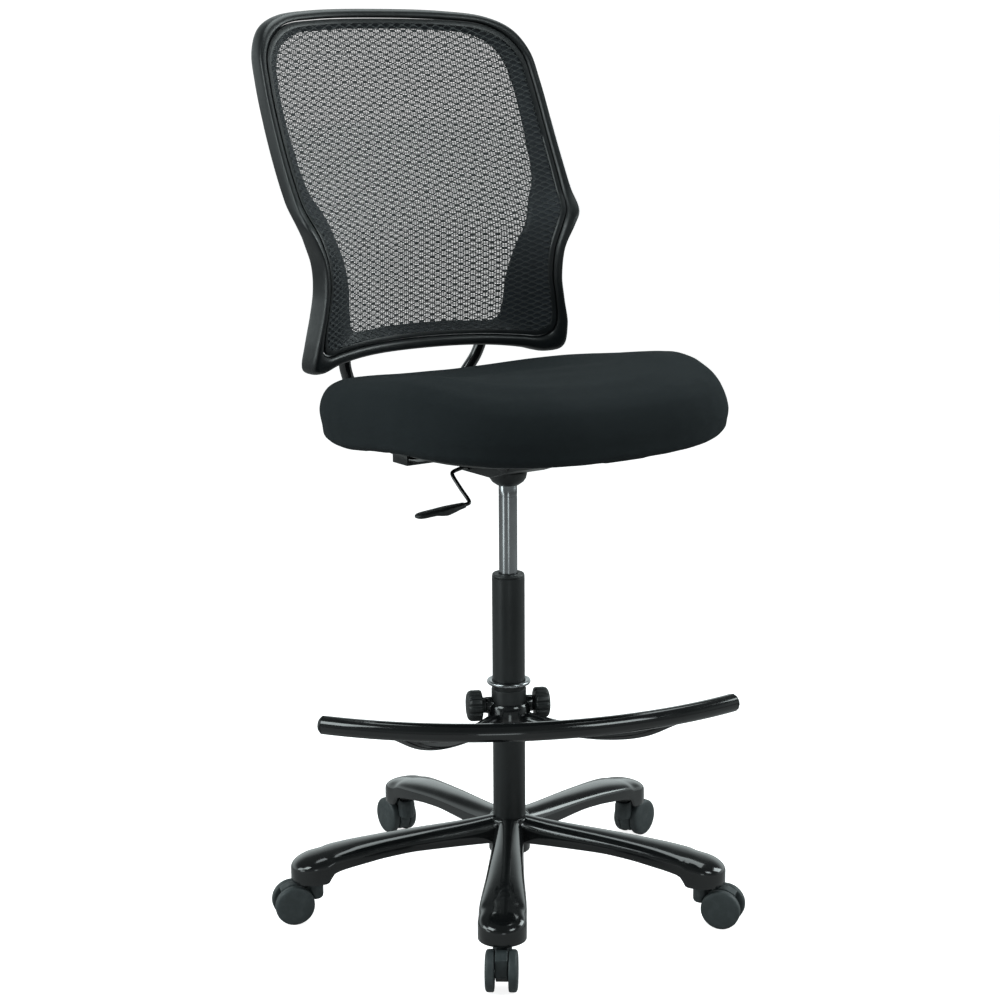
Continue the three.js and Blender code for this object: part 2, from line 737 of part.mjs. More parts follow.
// A rounded-square ring in plan, pulled in by an inset; lift raises each of its points in turn.
function seatRing(inset, height, lift = () => 0, roundness = 0.68, count = 40) {
  return Array.from({ length: count }, (_, i) => {
    const angle = (i / count) * 2 * Math.PI;
    const u = Math.sign(Math.cos(angle)) * Math.abs(Math.cos(angle)) ** roundness;
    const v = Math.sign(Math.sin(angle)) * Math.abs(Math.sin(angle)) ** roundness;
    const x = (SEAT_HALF_WIDTH - inset) * u;
    const y = SEAT_CENTRE_Y + (SEAT_HALF_DEPTH - inset) * v;
    return new THREE.Vector3(x, y, height + lift(x, y));
  });
}

// Height of the cushion's top above its lowest part: a raised front roll and raised sides.
function seatContour(x, y) {
  const forward = (SEAT_CENTRE_Y - y) / SEAT_HALF_DEPTH;
  const sideways = x / SEAT_HALF_WIDTH;
  const roll = 17 * Math.exp(-(((forward - 0.3) / 0.45) ** 2));
  return roll + 24 * sideways ** 2 + 12 * forward;
}

// The cushion's lower rim sweeps up from the rear to the front half of the seat, most at the sides.
function rimSweep(x, y) {
  return THREE.MathUtils.smoothstep(-y, -60, 110) * (6 + 12 * (x / SEAT_HALF_WIDTH) ** 2);
}

function seat() {
  const contour = (share) => (x, y) => share * seatContour(x, y);
  const cushion = loft([
    seatRing(58, CUSHION_BOTTOM),
    seatRing(44, RIM_BOTTOM + 2, rimSweep),
    seatRing(24, RIM_BOTTOM, rimSweep),
    seatRing(8, RIM_BOTTOM + 9, rimSweep),
    seatRing(0, CUSHION_BOTTOM + 34, contour(0.2)),
    seatRing(4, CUSHION_BOTTOM + 52, contour(0.5)),
    seatRing(14, CUSHION_BOTTOM + 67, contour(0.8)),
    seatRing(34, CUSHION_BOTTOM + 76, contour(1)),
    seatRing(80, CUSHION_BOTTOM + 80, contour(1)),
    seatRing(160, CUSHION_BOTTOM + 76, contour(1)),
  ]);
  const pan = loft([
    seatRing(94, PAN_BOTTOM, undefined, PAN_ROUNDNESS),
    seatRing(84, PAN_BOTTOM + 3, undefined, PAN_ROUNDNESS),
    seatRing(68, PAN_TOP, undefined, PAN_ROUNDNESS),
  ]);
  const pads = [-1, 1].map((side) => {
    const [x0, x1] = sorted(side * 100, side * 160);
    return box(x0, x1, SEAT_CENTRE_Y - 55, SEAT_CENTRE_Y + 55, PAN_BOTTOM - PAD_DROP, PAN_BOTTOM + 4);
  });
  return [piece("seat_cushion", cushion, seatCloth), piece("seat_pan", join(pan, ...pads), hardPlastic)];
}

// ---------------------------------------------------------------- back

// The front of the backrest in the side view, at its middle: upright at the loins, leaning above them.
const BACK_PROFILE = [
  [815, 231],
  [940, 229],
  [1020, 227],
  [1060, 235],
  [1100, 250],
  [1180, 283],
  [1260, 313],
  [1380, 353],
];

// How far the sides come forward of the middle, at a half width of 250.
const BACK_WRAP = [
  [815, 70],
  [880, 92],
  [960, 104],
  [1040, 86],
  [1080, 64],
  [1150, 54],
  [1380, 42],
];

// Depth of the frame at its sides, front edge to rear edge.
const SIDE_DEPTH = [
  [815, 48],
  [1000, 48],
  [1060, 38],
  [1380, 34],
];
const RAIL_DEPTH = 33;
const FRONT_MESH_DEPTH = 3; // behind the frame's front
const REAR_MESH_DEPTH = 18;

function backFront(x, z) {
  return blend(z, BACK_PROFILE) - blend(z, BACK_WRAP) * (x / 250) ** 2;
}

function backDepth(x, z) {
  const share = Math.min(1, Math.abs(x) / 215) ** 3;
  return RAIL_DEPTH + (blend(z, SIDE_DEPTH) - RAIL_DEPTH) * share;
}

// Half of the back's outline, from the bottom middle up to the top middle. Each row holds x and z of
// the frame's outer edge, of its inner edge, and of the opening in the rear frame.
const BACK_OUTLINE = [
  [0, 837, 0, 856, 0, 866],
  [110, 835, 105, 854, 90, 864],
  [172, 828, 165, 850, 132, 862],
  [208, 820, 196, 848, 142, 866],
  [232, 826, 210, 856, 146, 876],
  [233, 862, 214, 872, 147, 890],
  [223, 910, 209, 912, 144, 918],
  [218, 945, 204, 945, 142, 948],
  [222, 988, 207, 986, 148, 986],
  [238, 1022, 221, 1026, 172, 1024],
  [251, 1048, 234, 1054, 198, 1056],
  [254, 1090, 239, 1091, 213, 1092],
  [255, 1180, 241, 1180, 217, 1180],
  [253, 1250, 239, 1249, 216, 1246],
  [247, 1296, 233, 1291, 210, 1284],
  [226, 1330, 214, 1318, 192, 1310],
  [188, 1349, 182, 1336, 162, 1326],
  [120, 1358, 118, 1344, 105, 1333],
  [0, 1361, 0, 1347, 0, 1336],
];
const STATIONS_PER_POINT = 2;

// One closed curve of the outline: column 0 is the outer edge, 2 the inner edge, 4 the rear opening.
function outlineCurve(column) {
  const half = BACK_OUTLINE.map((row) => new THREE.Vector3(row[column], 0, row[column + 1]));
  const mirrored = half.slice(1, -1).reverse().map((p) => new THREE.Vector3(-p.x, 0, p.z));
  return new THREE.CatmullRomCurve3([...half, ...mirrored], true, "centripetal");
}

// Matching points of the three curves, all the way round.
function backStations() {
  const [outer, inner, rear] = [0, 2, 4].map(outlineCurve);
  const count = outer.points.length * STATIONS_PER_POINT;
  return Array.from({ length: count }, (_, i) => ({
    outer: outer.getPoint(i / count),
    inner: inner.getPoint(i / count),
    rear: rear.getPoint(i / count),
  }));
}

// A point of the outline's plane carried onto the back's curved surface, some depth behind its front.
function onBack(flat, depth) {
  return new THREE.Vector3(flat.x, backFront(flat.x, flat.z) + depth, flat.z);
}

function backFrame() {
  const sectionPoints = 10;
  const squareness = 0.6;
  const rings = backStations().map(({ outer, inner }) =>
    Array.from({ length: sectionPoints }, (_, k) => {
      const angle = ((k + 0.5) / sectionPoints) * 2 * Math.PI;
      const across = Math.sign(Math.cos(angle)) * Math.abs(Math.cos(angle)) ** squareness;
      const deep = Math.sign(Math.sin(angle)) * Math.abs(Math.sin(angle)) ** squareness;
      const flat = outer.clone().lerp(inner, (1 + across) / 2);
      return onBack(flat, (backDepth(flat.x, flat.z) / 2) * (1 + deep));
    }),
  );
  return piece("back_frame", loopLoft(rings), framePlastic);
}

// The rear frame: a flange that slopes from behind the front frame back to the rear mesh.
function backRearFrame() {
  const clearance = 0.8;
  const thickness = 5;
  const outerDepth = 6;
  const innerDepth = REAR_MESH_DEPTH - 3;
  const rings = backStations().map(({ inner, rear }) => {
    const start = inner.clone().add(rear.clone().sub(inner).setLength(clearance));
    return [
      onBack(start, outerDepth),
      onBack(rear, innerDepth),
      onBack(rear, innerDepth + thickness),
      onBack(start, outerDepth + thickness),
    ];
  });
  return piece("back_rear_frame", loopLoft(rings), framePlastic);
}

// A stretched sheet inside one of the outline's curves, some depth behind the front.
function backSheet(name, depth, curveName) {
  const centre = new THREE.Vector3(0, 0, 1095);
  const ringShares = [0.975, 0.8, 0.55, 0.28];
  const edge = backStations().filter((_, i) => i % 2 === 0).map((station) => station[curveName]);
  const layer = (share, lift) => edge.map((point) => onBack(centre.clone().lerp(point, share), depth + lift));
  const front = ringShares.map((share) => layer(share, 0));
  const rear = ringShares.map((share) => layer(share, MESH_THICKNESS)).reverse();
  return piece(name, loft([...rear, ...front]), meshCloth);
}

function backBar(side) {
  const path = [
    [side * 129, 255.4, 856],
    [side * 128.5, 255.8, 842],
    [side * 123, 264, 815],
    [side * 100, 278, 770],
    [side * 77, 274, 716],
    [side * 62, 240, 689],
    [side * 55, 186, 683],
    [side * 52, 138, 693],
    [side * 51, 76, 709],
  ];
  return piece(side > 0 ? "back_bar_left" : "back_bar_right", bentRod(path, BACK_BAR_RADIUS, 10, 16), steelBlack);
}

function backBracket() {
  const lip = 4;
  const floor = box(-76, 76, 163, 205, 668.5, 672.5);
  const lips = [-1, 1].map((side) => box(...sorted(side * 76, side * (76 - lip)), 163, 205, 670, 684));
  return piece("back_bracket", join(floor, ...lips), satinBlack);
}

// ---------------------------------------------------------------- the chair

function mechanism() {
  return [
    housing(),
    seatPlate(),
    piece("tilt_pivot_pin", crossRod(5, -60, 60, PIVOT_Y, PIVOT_Z), brightSteel),
    piece("tilt_spring", tiltSpring(), brightSteel),
    ...lever(),
  ];
}

function back() {
  return [
    backBar(1),
    backBar(-1),
    backBracket(),
    backFrame(),
    backRearFrame(),
    backSheet("back_mesh_front", FRONT_MESH_DEPTH, "inner"),
    backSheet("back_mesh_rear", REAR_MESH_DEPTH - 1, "rear"),
  ];
}

const chair = new THREE.Group();
chair.add(starBase());
for (let number = 1; number <= ARM_COUNT; number++) chair.add(caster(number));
chair.add(...column(), ...gasLift(), ...footrest(), ...mechanism(), ...seat(), ...back());

// The origin is on the floor under the middle of the chair's bounding box.
const bounds = new THREE.Box3().setFromObject(chair, true);
chair.position.set(-(bounds.min.x + bounds.max.x) / 2, -(bounds.min.y + bounds.max.y) / 2, -bounds.min.z);

const part = new THREE.Group();
part.add(chair);

export default part;
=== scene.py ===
import math

import bmesh
import bpy
import numpy as np
from mathutils import Matrix, Vector, noise


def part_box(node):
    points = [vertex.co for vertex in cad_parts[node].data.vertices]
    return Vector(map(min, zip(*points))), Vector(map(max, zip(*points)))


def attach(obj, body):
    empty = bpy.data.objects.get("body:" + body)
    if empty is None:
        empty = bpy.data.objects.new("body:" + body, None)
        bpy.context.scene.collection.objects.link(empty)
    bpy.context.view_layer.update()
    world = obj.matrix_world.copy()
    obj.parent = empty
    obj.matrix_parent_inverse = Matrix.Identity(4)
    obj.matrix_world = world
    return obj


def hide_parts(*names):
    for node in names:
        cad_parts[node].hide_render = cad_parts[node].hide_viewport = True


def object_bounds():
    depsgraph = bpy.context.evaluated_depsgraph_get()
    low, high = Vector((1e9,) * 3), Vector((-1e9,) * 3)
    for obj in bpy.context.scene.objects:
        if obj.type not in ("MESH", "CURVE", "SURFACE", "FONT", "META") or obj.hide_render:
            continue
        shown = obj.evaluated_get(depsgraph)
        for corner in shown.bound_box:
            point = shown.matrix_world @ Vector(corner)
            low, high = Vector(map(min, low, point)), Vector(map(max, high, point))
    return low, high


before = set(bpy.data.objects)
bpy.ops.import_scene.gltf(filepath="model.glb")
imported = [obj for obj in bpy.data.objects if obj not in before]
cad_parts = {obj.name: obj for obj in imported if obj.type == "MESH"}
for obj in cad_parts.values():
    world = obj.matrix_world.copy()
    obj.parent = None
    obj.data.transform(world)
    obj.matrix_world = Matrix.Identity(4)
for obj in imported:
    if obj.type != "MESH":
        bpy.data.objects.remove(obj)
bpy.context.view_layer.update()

scene = bpy.context.scene

# Lengths below are in millimetres about the column's axis, with the floor at z = 0, as in the CAD.
MM = 0.001
COLUMN_LOW, COLUMN_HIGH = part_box("column_tube")
COLUMN_FOOT = 76
ORIGIN = Vector((
    (COLUMN_LOW.x + COLUMN_HIGH.x) / 2,
    (COLUMN_LOW.y + COLUMN_HIGH.y) / 2,
    COLUMN_LOW.z - COLUMN_FOOT * MM,
))
BASE_TURN, REST_TURN = -37, -25.8
ARM_COUNT = 5
STEM_CIRCLE, CASTER_TRAIL, WHEEL_RADIUS = 310, 33, 30


# ---------------------------------------------------------------- camera

CAMERA_AZIMUTH = 35
CAMERA_DISTANCE, CAMERA_HEIGHT = 3097.3, 1300.7
CAMERA_PITCH, CAMERA_YAW, CAMERA_ROLL = 12.15, -0.22, -0.32
CAMERA_LENS = 75.7


def make_camera():
    """The photograph's viewpoint: the camera stands to the front, on the sitter's right."""
    turn = math.radians(CAMERA_AZIMUTH)
    pitch, yaw, roll = (math.radians(v) for v in (CAMERA_PITCH, CAMERA_YAW, CAMERA_ROLL))
    level = math.cos(pitch)
    forward = Vector((math.sin(yaw) * level, math.cos(yaw) * level, -math.sin(pitch)))
    right = Vector((math.cos(yaw), -math.sin(yaw), 0))
    up = right.cross(forward)
    across = math.cos(roll) * right + math.sin(roll) * up
    upward = -math.sin(roll) * right + math.cos(roll) * up
    spin = Matrix.Rotation(-turn, 3, "Z")
    place = ORIGIN + spin @ Vector((0, -CAMERA_DISTANCE, CAMERA_HEIGHT)) * MM
    axes = Matrix((spin @ across, spin @ upward, -(spin @ forward))).transposed()
    data = bpy.data.cameras.new("camera")
    data.lens = CAMERA_LENS
    data.sensor_width = 36
    data.clip_end = 50
    camera = bpy.data.objects.new("camera", data)
    camera.matrix_world = Matrix.Translation(place) @ axes.to_4x4()
    scene.collection.objects.link(camera)
    scene.camera = camera


make_camera()


# ---------------------------------------------------------------- materials

RANGE_INPUTS = ("From Min", "From Max", "To Min", "To Max")
NOISE_ROUGHNESS = 0.55


class Nodes:
    """A short way to write a material's node tree."""

    def __init__(self, name):
        self.material = bpy.data.materials.new(name)
        self.material.use_nodes = True
        self.tree = self.material.node_tree
        self.shader = next(n for n in self.tree.nodes if n.type == "BSDF_PRINCIPLED")
        self.place = self.add("ShaderNodeTexCoord").outputs["Object"]

    def add(self, kind, **values):
        node = self.tree.nodes.new(kind)
        for key, value in values.items():
            if key in node.inputs:
                if isinstance(value, bpy.types.NodeSocket):
                    self.tree.links.new(value, node.inputs[key])
                else:
                    node.inputs[key].default_value = value
            else:
                setattr(node, key, value)
        return node

    def noise(self, scale, detail, stretch=None):
        vector = self.place
        if stretch:
            vector = self.add("ShaderNodeMapping", Vector=self.place, Scale=stretch).outputs[0]
        made = self.add("ShaderNodeTexNoise", Vector=vector, Scale=scale, Detail=detail,
                        Roughness=NOISE_ROUGHNESS)
        return made.outputs[0]

    def spread(self, value, low, high, from_low=0.3, from_high=0.7):
        made = self.add("ShaderNodeMapRange", Value=value)
        for key, number in zip(RANGE_INPUTS, (from_low, from_high, low, high)):
            made.inputs[key].default_value = number
        return made.outputs[0]

    def mix(self, factor, a, b):
        made = self.add("ShaderNodeMix", data_type="RGBA")
        self.link(factor, made.inputs[0])
        for socket, value in zip((made.inputs[6], made.inputs[7]), (a, b)):
            self.link(value, socket)
        return made.outputs[2]

    def link(self, value, socket):
        if isinstance(value, bpy.types.NodeSocket):
            self.tree.links.new(value, socket)
        elif isinstance(value, (tuple, list)):
            socket.default_value = (*value, 1)
        else:
            socket.default_value = value

    def bump(self, height, distance, strength=1.0, below=None):
        made = self.add("ShaderNodeBump", Height=height, Distance=distance, Strength=strength)
        if below is not None:
            self.tree.links.new(below, made.inputs["Normal"])
        return made.outputs[0]

    def finish(self, **values):
        for key, value in values.items():
            self.link(value, self.shader.inputs[key.replace("_", " ")])
        return self.material


def gloss_enamel():
    n = Nodes("gloss_enamel")
    cloud = n.noise(7, 2)
    colour = n.mix(n.spread(cloud, 0, 1), (0.0035, 0.004, 0.0045), (0.008, 0.009, 0.0095))
    peel = n.bump(n.noise(420, 1), 0.00003, 0.5)
    wave = n.bump(n.noise(26, 1), 0.0004, 0.35, below=peel)
    return n.finish(Base_Color=colour, Roughness=n.spread(n.noise(60, 4), 0.1, 0.2), Normal=wave,
                    Coat_Weight=0.6, Coat_Roughness=0.06, IOR=1.5)


def satin_paint():
    n = Nodes("satin_paint")
    colour = n.mix(n.spread(n.noise(9, 3), 0, 1), (0.008, 0.0095, 0.010), (0.014, 0.0165, 0.017))
    grain = n.bump(n.noise(1500, 2), 0.00006, 0.5)
    uneven = n.spread(n.noise(140, 4), 0.3, 0.44)
    return n.finish(Base_Color=colour, Roughness=uneven, Normal=grain, IOR=1.5)


def bright_steel():
    n = Nodes("bright_steel")
    rings = n.noise(90, 5, stretch=(0.15, 0.15, 30))
    colour = n.mix(n.spread(n.noise(14, 3), 0, 1), (0.46, 0.47, 0.48), (0.62, 0.63, 0.64))
    return n.finish(Base_Color=colour, Metallic=1.0, Roughness=n.spread(rings, 0.14, 0.26),
                    Normal=n.bump(rings, 0.00004, 0.5))


def moulded(name, dark, light, rough, grain=0.00012):
    """Moulded plastic: fine pits over slow waves, between a dark and a light tone."""
    n = Nodes(name)
    colour = n.mix(n.spread(n.noise(12, 4), 0, 1), dark, light)
    pits = n.add("ShaderNodeTexVoronoi", Vector=n.place, Scale=900).outputs["Distance"]
    fine = n.bump(pits, grain, 0.6)
    slow = n.bump(n.noise(40, 2), 0.0003, 0.25, below=fine)
    uneven = n.spread(n.noise(200, 4), rough - 0.07, rough + 0.07)
    return n.finish(Base_Color=colour, Roughness=uneven, Normal=slow)


def rubbed_tread():
    n = Nodes("tread_plastic")
    wear = n.spread(n.noise(80, 6), 0, 1, 0.45, 0.75)
    base = n.mix(n.spread(n.noise(20, 3), 0, 1), (0.033, 0.0415, 0.0435), (0.043, 0.0530, 0.0550))
    colour = n.mix(wear, base, (0.056, 0.067, 0.070))
    return n.finish(Base_Color=colour, Roughness=n.spread(n.noise(260, 4), 0.42, 0.6),
                    Normal=n.bump(n.noise(700, 3), 0.0001, 0.5))


def dark_chrome():
    n = Nodes("dark_chrome")
    rings = n.noise(90, 5, stretch=(0.15, 0.15, 30))
    colour = n.mix(n.spread(n.noise(14, 3), 0, 1), (0.30, 0.31, 0.32), (0.40, 0.41, 0.42))
    return n.finish(Base_Color=colour, Metallic=1.0, Roughness=n.spread(rings, 0.15, 0.24),
                    Normal=n.bump(rings, 0.00003, 0.4))


def seat_cloth():
    """A dense knit: tiny rounded loops of uneven size under a fine fuzz, with slow changes of tone."""
    n = Nodes("seat_cloth")
    shaken = n.add("ShaderNodeVectorMath", operation="ADD")
    n.tree.links.new(n.place, shaken.inputs[0])
    wander = n.add("ShaderNodeTexNoise", Vector=n.place, Scale=35, Detail=1.0)
    n.tree.links.new(wander.outputs["Color"], shaken.inputs[1])
    loops = n.add("ShaderNodeTexVoronoi", Vector=shaken.outputs[0], Scale=520, Randomness=0.55)
    knit = n.spread(loops.outputs["Distance"], 1, 0, 0.1, 0.75)
    fuzz = n.noise(2600, 3)
    tone = n.mix(n.spread(n.noise(5, 4), 0, 1), (0.0134, 0.0168, 0.0182), (0.0186, 0.0228, 0.0248))
    colour = n.mix(knit, tone, (0.0250, 0.0300, 0.0328))
    normal = n.bump(knit, 0.0004, 0.45, below=n.bump(fuzz, 0.00015, 0.4))
    return n.finish(Base_Color=colour, Roughness=n.spread(fuzz, 0.85, 0.98), Normal=normal,
                    Sheen_Weight=0.012, Sheen_Roughness=0.6, Specular_IOR_Level=0.05)


def knit_thread():
    n = Nodes("knit_thread")
    twist = n.noise(900, 3, stretch=(1, 1, 3))
    colour = n.mix(n.spread(twist, 0, 1), (0.024, 0.029, 0.031), (0.044, 0.051, 0.053))
    return n.finish(Base_Color=colour, Roughness=n.spread(n.noise(1200, 2), 0.6, 0.85),
                    Normal=n.bump(twist, 0.0003, 0.8), Sheen_Weight=0.1)


GLOSS = gloss_enamel()
SATIN = satin_paint()
BRIGHT = bright_steel()
CHROME = dark_chrome()
FLANGE = moulded("flange_plastic", (0.017, 0.0210, 0.0265), (0.025, 0.0305, 0.0380), 0.5)
FRAME = moulded("frame_plastic", (0.006, 0.0075, 0.0085), (0.010, 0.012, 0.013), 0.36, grain=0.00005)
HARD = moulded("hard_plastic", (0.009, 0.0105, 0.011), (0.015, 0.0175, 0.018), 0.45)
TREAD = rubbed_tread()
CLOTH = seat_cloth()
THREAD = knit_thread()


# ---------------------------------------------------------------- shape tools

def smooth_line(points, steps, closed=False):
    """A centripetal Catmull-Rom curve through the points, steps samples to each gap."""
    p = np.asarray(points, float)
    count = len(p)
    if closed:
        p = np.vstack([p[-1], p, p[0], p[1]])
        gaps = count
    else:
        p = np.vstack([2 * p[0] - p[1], p, 2 * p[-1] - p[-2]])
        gaps = count - 1
    out = []
    for g in range(gaps):
        a, b, c, d = p[g : g + 4]
        knots = [0.0]
        for q, r in ((a, b), (b, c), (c, d)):
            knots.append(knots[-1] + max(np.linalg.norm(r - q), 1e-9) ** 0.5)
        t0, t1, t2, t3 = knots
        for t in np.linspace(t1, t2, steps, endpoint=False):
            ab = (t1 - t) / (t1 - t0) * a + (t - t0) / (t1 - t0) * b
            bc = (t2 - t) / (t2 - t1) * b + (t - t1) / (t2 - t1) * c
            cd = (t3 - t) / (t3 - t2) * c + (t - t2) / (t3 - t2) * d
            abc = (t2 - t) / (t2 - t0) * ab + (t - t0) / (t2 - t0) * bc
            bcd = (t3 - t) / (t3 - t1) * bc + (t - t1) / (t3 - t1) * cd
            out.append((t2 - t) / (t2 - t1) * abc + (t - t1) / (t2 - t1) * bcd)
    if not closed:
        out.append(p[-2])
    return np.array(out)


def through(at, pairs):
    """A smooth curve through [at, value] pairs, without overshoot."""
    x, y = (np.array(v, float) for v in zip(*pairs))
    slopes = np.diff(y) / np.diff(x)
    before, after = slopes[:-1], slopes[1:]
    inner = np.where(before * after > 0, 2 * before * after / (before + after + 1e-12), 0)
    tangent = np.concatenate([[slopes[0]], inner, [slopes[-1]]])
    at = np.clip(at, x[0], x[-1])
    k = np.clip(np.searchsorted(x, at) - 1, 0, len(x) - 2)
    wide = x[k + 1] - x[k]
    t = (at - x[k]) / wide
    return (
        (2 * t**3 - 3 * t**2 + 1) * y[k]
        + (t**3 - 2 * t**2 + t) * wide * tangent[k]
        + (-2 * t**3 + 3 * t**2) * y[k + 1]
        + (t**3 - t**2) * wide * tangent[k + 1]
    )


def skin(rings, around=True, along=False, caps=False):
    """Points and faces over rings of equal counts.

    around joins each ring to a loop, along joins the last ring to the first, and caps closes the ends.
    """
    rings = np.asarray(rings, float)
    rows, count = rings.shape[:2]
    faces = []
    for r in range(rows if along else rows - 1):
        s = (r + 1) % rows
        for i in range(count if around else count - 1):
            j = (i + 1) % count
            faces.append((r * count + i, r * count + j, s * count + j, s * count + i))
    if caps:
        faces.append(tuple(range(count))[::-1])
        faces.append(tuple((rows - 1) * count + i for i in range(count)))
    return rings.reshape(-1, 3), faces


def lathe(profile, facets):
    """A turned skin about the z axis through [radius, height] pairs; points on the axis merge later."""
    rings = [
        [(r * math.cos(a), r * math.sin(a), z) for r, z in profile]
        for a in np.linspace(0, 2 * math.pi, facets, endpoint=False)
    ]
    return skin(rings, around=False, along=True)


def tube(line, radius, sides):
    """A round bar along a line of points, closed at its ends."""
    line = np.asarray(line, float)
    ahead = np.gradient(line, axis=0)
    ahead /= np.linalg.norm(ahead, axis=1)[:, None]
    side = np.cross(ahead[0], (0, 0, 1) if abs(ahead[0][2]) < 0.9 else (1, 0, 0))
    angles = np.linspace(0, 2 * math.pi, sides, endpoint=False)
    rings = []
    for point, direction in zip(line, ahead):
        side = side - direction * (side @ direction)
        side /= np.linalg.norm(side)
        over = np.cross(direction, side)
        rings.append([point + radius * (math.cos(a) * side + math.sin(a) * over) for a in angles])
    return skin(rings, caps=True)


def turned_about_z(points, degrees):
    a = math.radians(degrees)
    spin = np.array([[math.cos(a), -math.sin(a), 0], [math.sin(a), math.cos(a), 0], [0, 0, 1]])
    return np.asarray(points) @ spin.T


def joined(*parts):
    """Several (points, faces) as one."""
    points, faces, base = [], [], 0
    for p, f in parts:
        points.append(np.asarray(p, float))
        faces += [tuple(i + base for i in face) for face in f]
        base += len(p)
    return np.vstack(points), faces


def weld_normals(mesh, close=1e-6):
    work = bmesh.new()
    work.from_mesh(mesh)
    bmesh.ops.remove_doubles(work, verts=work.verts, dist=close)
    bmesh.ops.dissolve_degenerate(work, edges=work.edges, dist=1e-7)
    bmesh.ops.recalc_face_normals(work, faces=work.faces)
    work.to_mesh(mesh)
    work.free()


def ride_as(piece, body, nodes):
    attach(piece, body)
    if nodes:
        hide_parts(*nodes)
    return piece


def build(name, shape, material, body, nodes=(), sharp=35):
    points, faces = shape
    mesh = bpy.data.meshes.new(name)
    placed = np.asarray(points) * MM + np.array(ORIGIN)
    mesh.from_pydata([tuple(p) for p in placed], [], faces)
    weld_normals(mesh)
    mesh.materials.append(material)
    mesh.shade_smooth()
    mesh.set_sharp_from_angle(angle=math.radians(sharp))
    piece = bpy.data.objects.new(name, mesh)
    scene.collection.objects.link(piece)
    return ride_as(piece, body, nodes)


def copied(node, name):
    """A welded copy of a CAD node's mesh, as a new object that rides on nothing yet."""
    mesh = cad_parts[node].data.copy()
    mesh.name = name
    for layer in list(mesh.attributes):
        if layer.name == "custom_normal":
            mesh.attributes.remove(layer)
    weld_normals(mesh, 2e-5)
    piece = bpy.data.objects.new(name, mesh)
    scene.collection.objects.link(piece)
    return piece


def applied(piece):
    """Replaces the piece's mesh with what its modifiers make of it."""
    graph = bpy.context.evaluated_depsgraph_get()
    graph.update()
    made = bpy.data.meshes.new_from_object(piece.evaluated_get(graph))
    old = piece.data
    piece.modifiers.clear()
    piece.data = made
    bpy.data.meshes.remove(old)
    return piece


def dress(piece, material):
    """Gives a piece its one material and smooth shading."""
    piece.data.materials.clear()
    piece.data.materials.append(material)
    piece.data.shade_smooth()


def voxel_remesh(piece, voxel):
    remesh = piece.modifiers.new("remesh", "REMESH")
    remesh.mode, remesh.voxel_size = "VOXEL", voxel * MM


def softened(node, name, material, body, voxel, rounds):
    """A CAD node again with its corners eased, by a fine remesh and some smoothing."""
    piece = copied(node, name)
    voxel_remesh(piece, voxel)
    smooth = piece.modifiers.new("smooth", "SMOOTH")
    smooth.factor, smooth.iterations = 0.5, rounds
    applied(piece)
    dress(piece, material)
    return ride_as(piece, body, (node,))


def eased(node, name, material, body, width, sharp):
    """A CAD node again with its sharp edges bevelled and its round faces shaded smooth."""
    piece = copied(node, name)
    planar = piece.modifiers.new("planar", "DECIMATE")
    planar.decimate_type, planar.angle_limit = "DISSOLVE", math.radians(0.6)
    bevel = piece.modifiers.new("bevel", "BEVEL")
    bevel.width, bevel.segments, bevel.limit_method = width * MM, 2, "ANGLE"
    bevel.angle_limit = math.radians(sharp)
    bevel.use_clamp_overlap = True
    applied(piece)
    dress(piece, material)
    piece.data.set_sharp_from_angle(angle=math.radians(sharp))
    return ride_as(piece, body, (node,))


# ---------------------------------------------------------------- star base

# Each by distance from the column's axis. The shoulder is a share of the section's height, and the
# roundness is the power that its curve takes.
ARM_HALF_WIDTH = [[20, 23], [70, 24], [150, 26.5], [200, 28.8], [245, 32.2], [275, 34], [310, 35]]
ARM_SKIRT = [
    [20, 98], [70, 99], [150, 99.5], [200, 96], [240, 90.5], [262, 87], [279, 83], [286, 79], [291, 70],
    [295, 65.6], [310, 65],
]
ARM_CROWN = [
    [20, 136], [70, 130.5], [150, 125], [200, 121], [245, 116.3], [275, 111.6], [295, 107.6],
    [310, 104.4],
]
ARM_SHOULDER = [[20, 0.24], [150, 0.3], [245, 0.4], [285, 0.52], [310, 0.56]]
ARM_ROUNDNESS = [[20, 0.9], [150, 0.86], [250, 0.84], [310, 0.8]]
CAP_FALL = 0.22  # the crown's slope beyond the stem's axis
ARM_WALL = 2.5
SOCKET_PROFILE = [[5.8, 66], [10, 66], [11, 67], [11, 101], [5.8, 101], [5.8, 66]]
HUB_PROFILE = [
    [25.3, 79], [26.5, 78], [30, 78], [31.4, 78.6], [32, 80], [32, 129], [31.4, 132], [29.5, 133.7],
    [27, 134], [25.8, 133.7], [25.3, 132.5], [25.3, 79],
]
WELD_RADIUS, WELD_REACH = 2.2, 33.2


def arm_half_section(at):
    """Half of an arm's section, from the skirt up over the shoulder to the crown's middle."""
    half, skirt, crown = (through(at, v) for v in (ARM_HALF_WIDTH, ARM_SKIRT, ARM_CROWN))
    shoulder = skirt + (crown - skirt) * through(at, ARM_SHOULDER)
    power = through(at, ARM_ROUNDNESS)
    wall = [(half, skirt), (half, skirt + (shoulder - skirt) * 0.5)]
    over = [
        (half * max(math.cos(t), 0) ** power, shoulder + (crown - shoulder) * math.sin(t) ** power)
        for t in np.linspace(0, math.pi / 2, 16)
    ]
    return wall + over


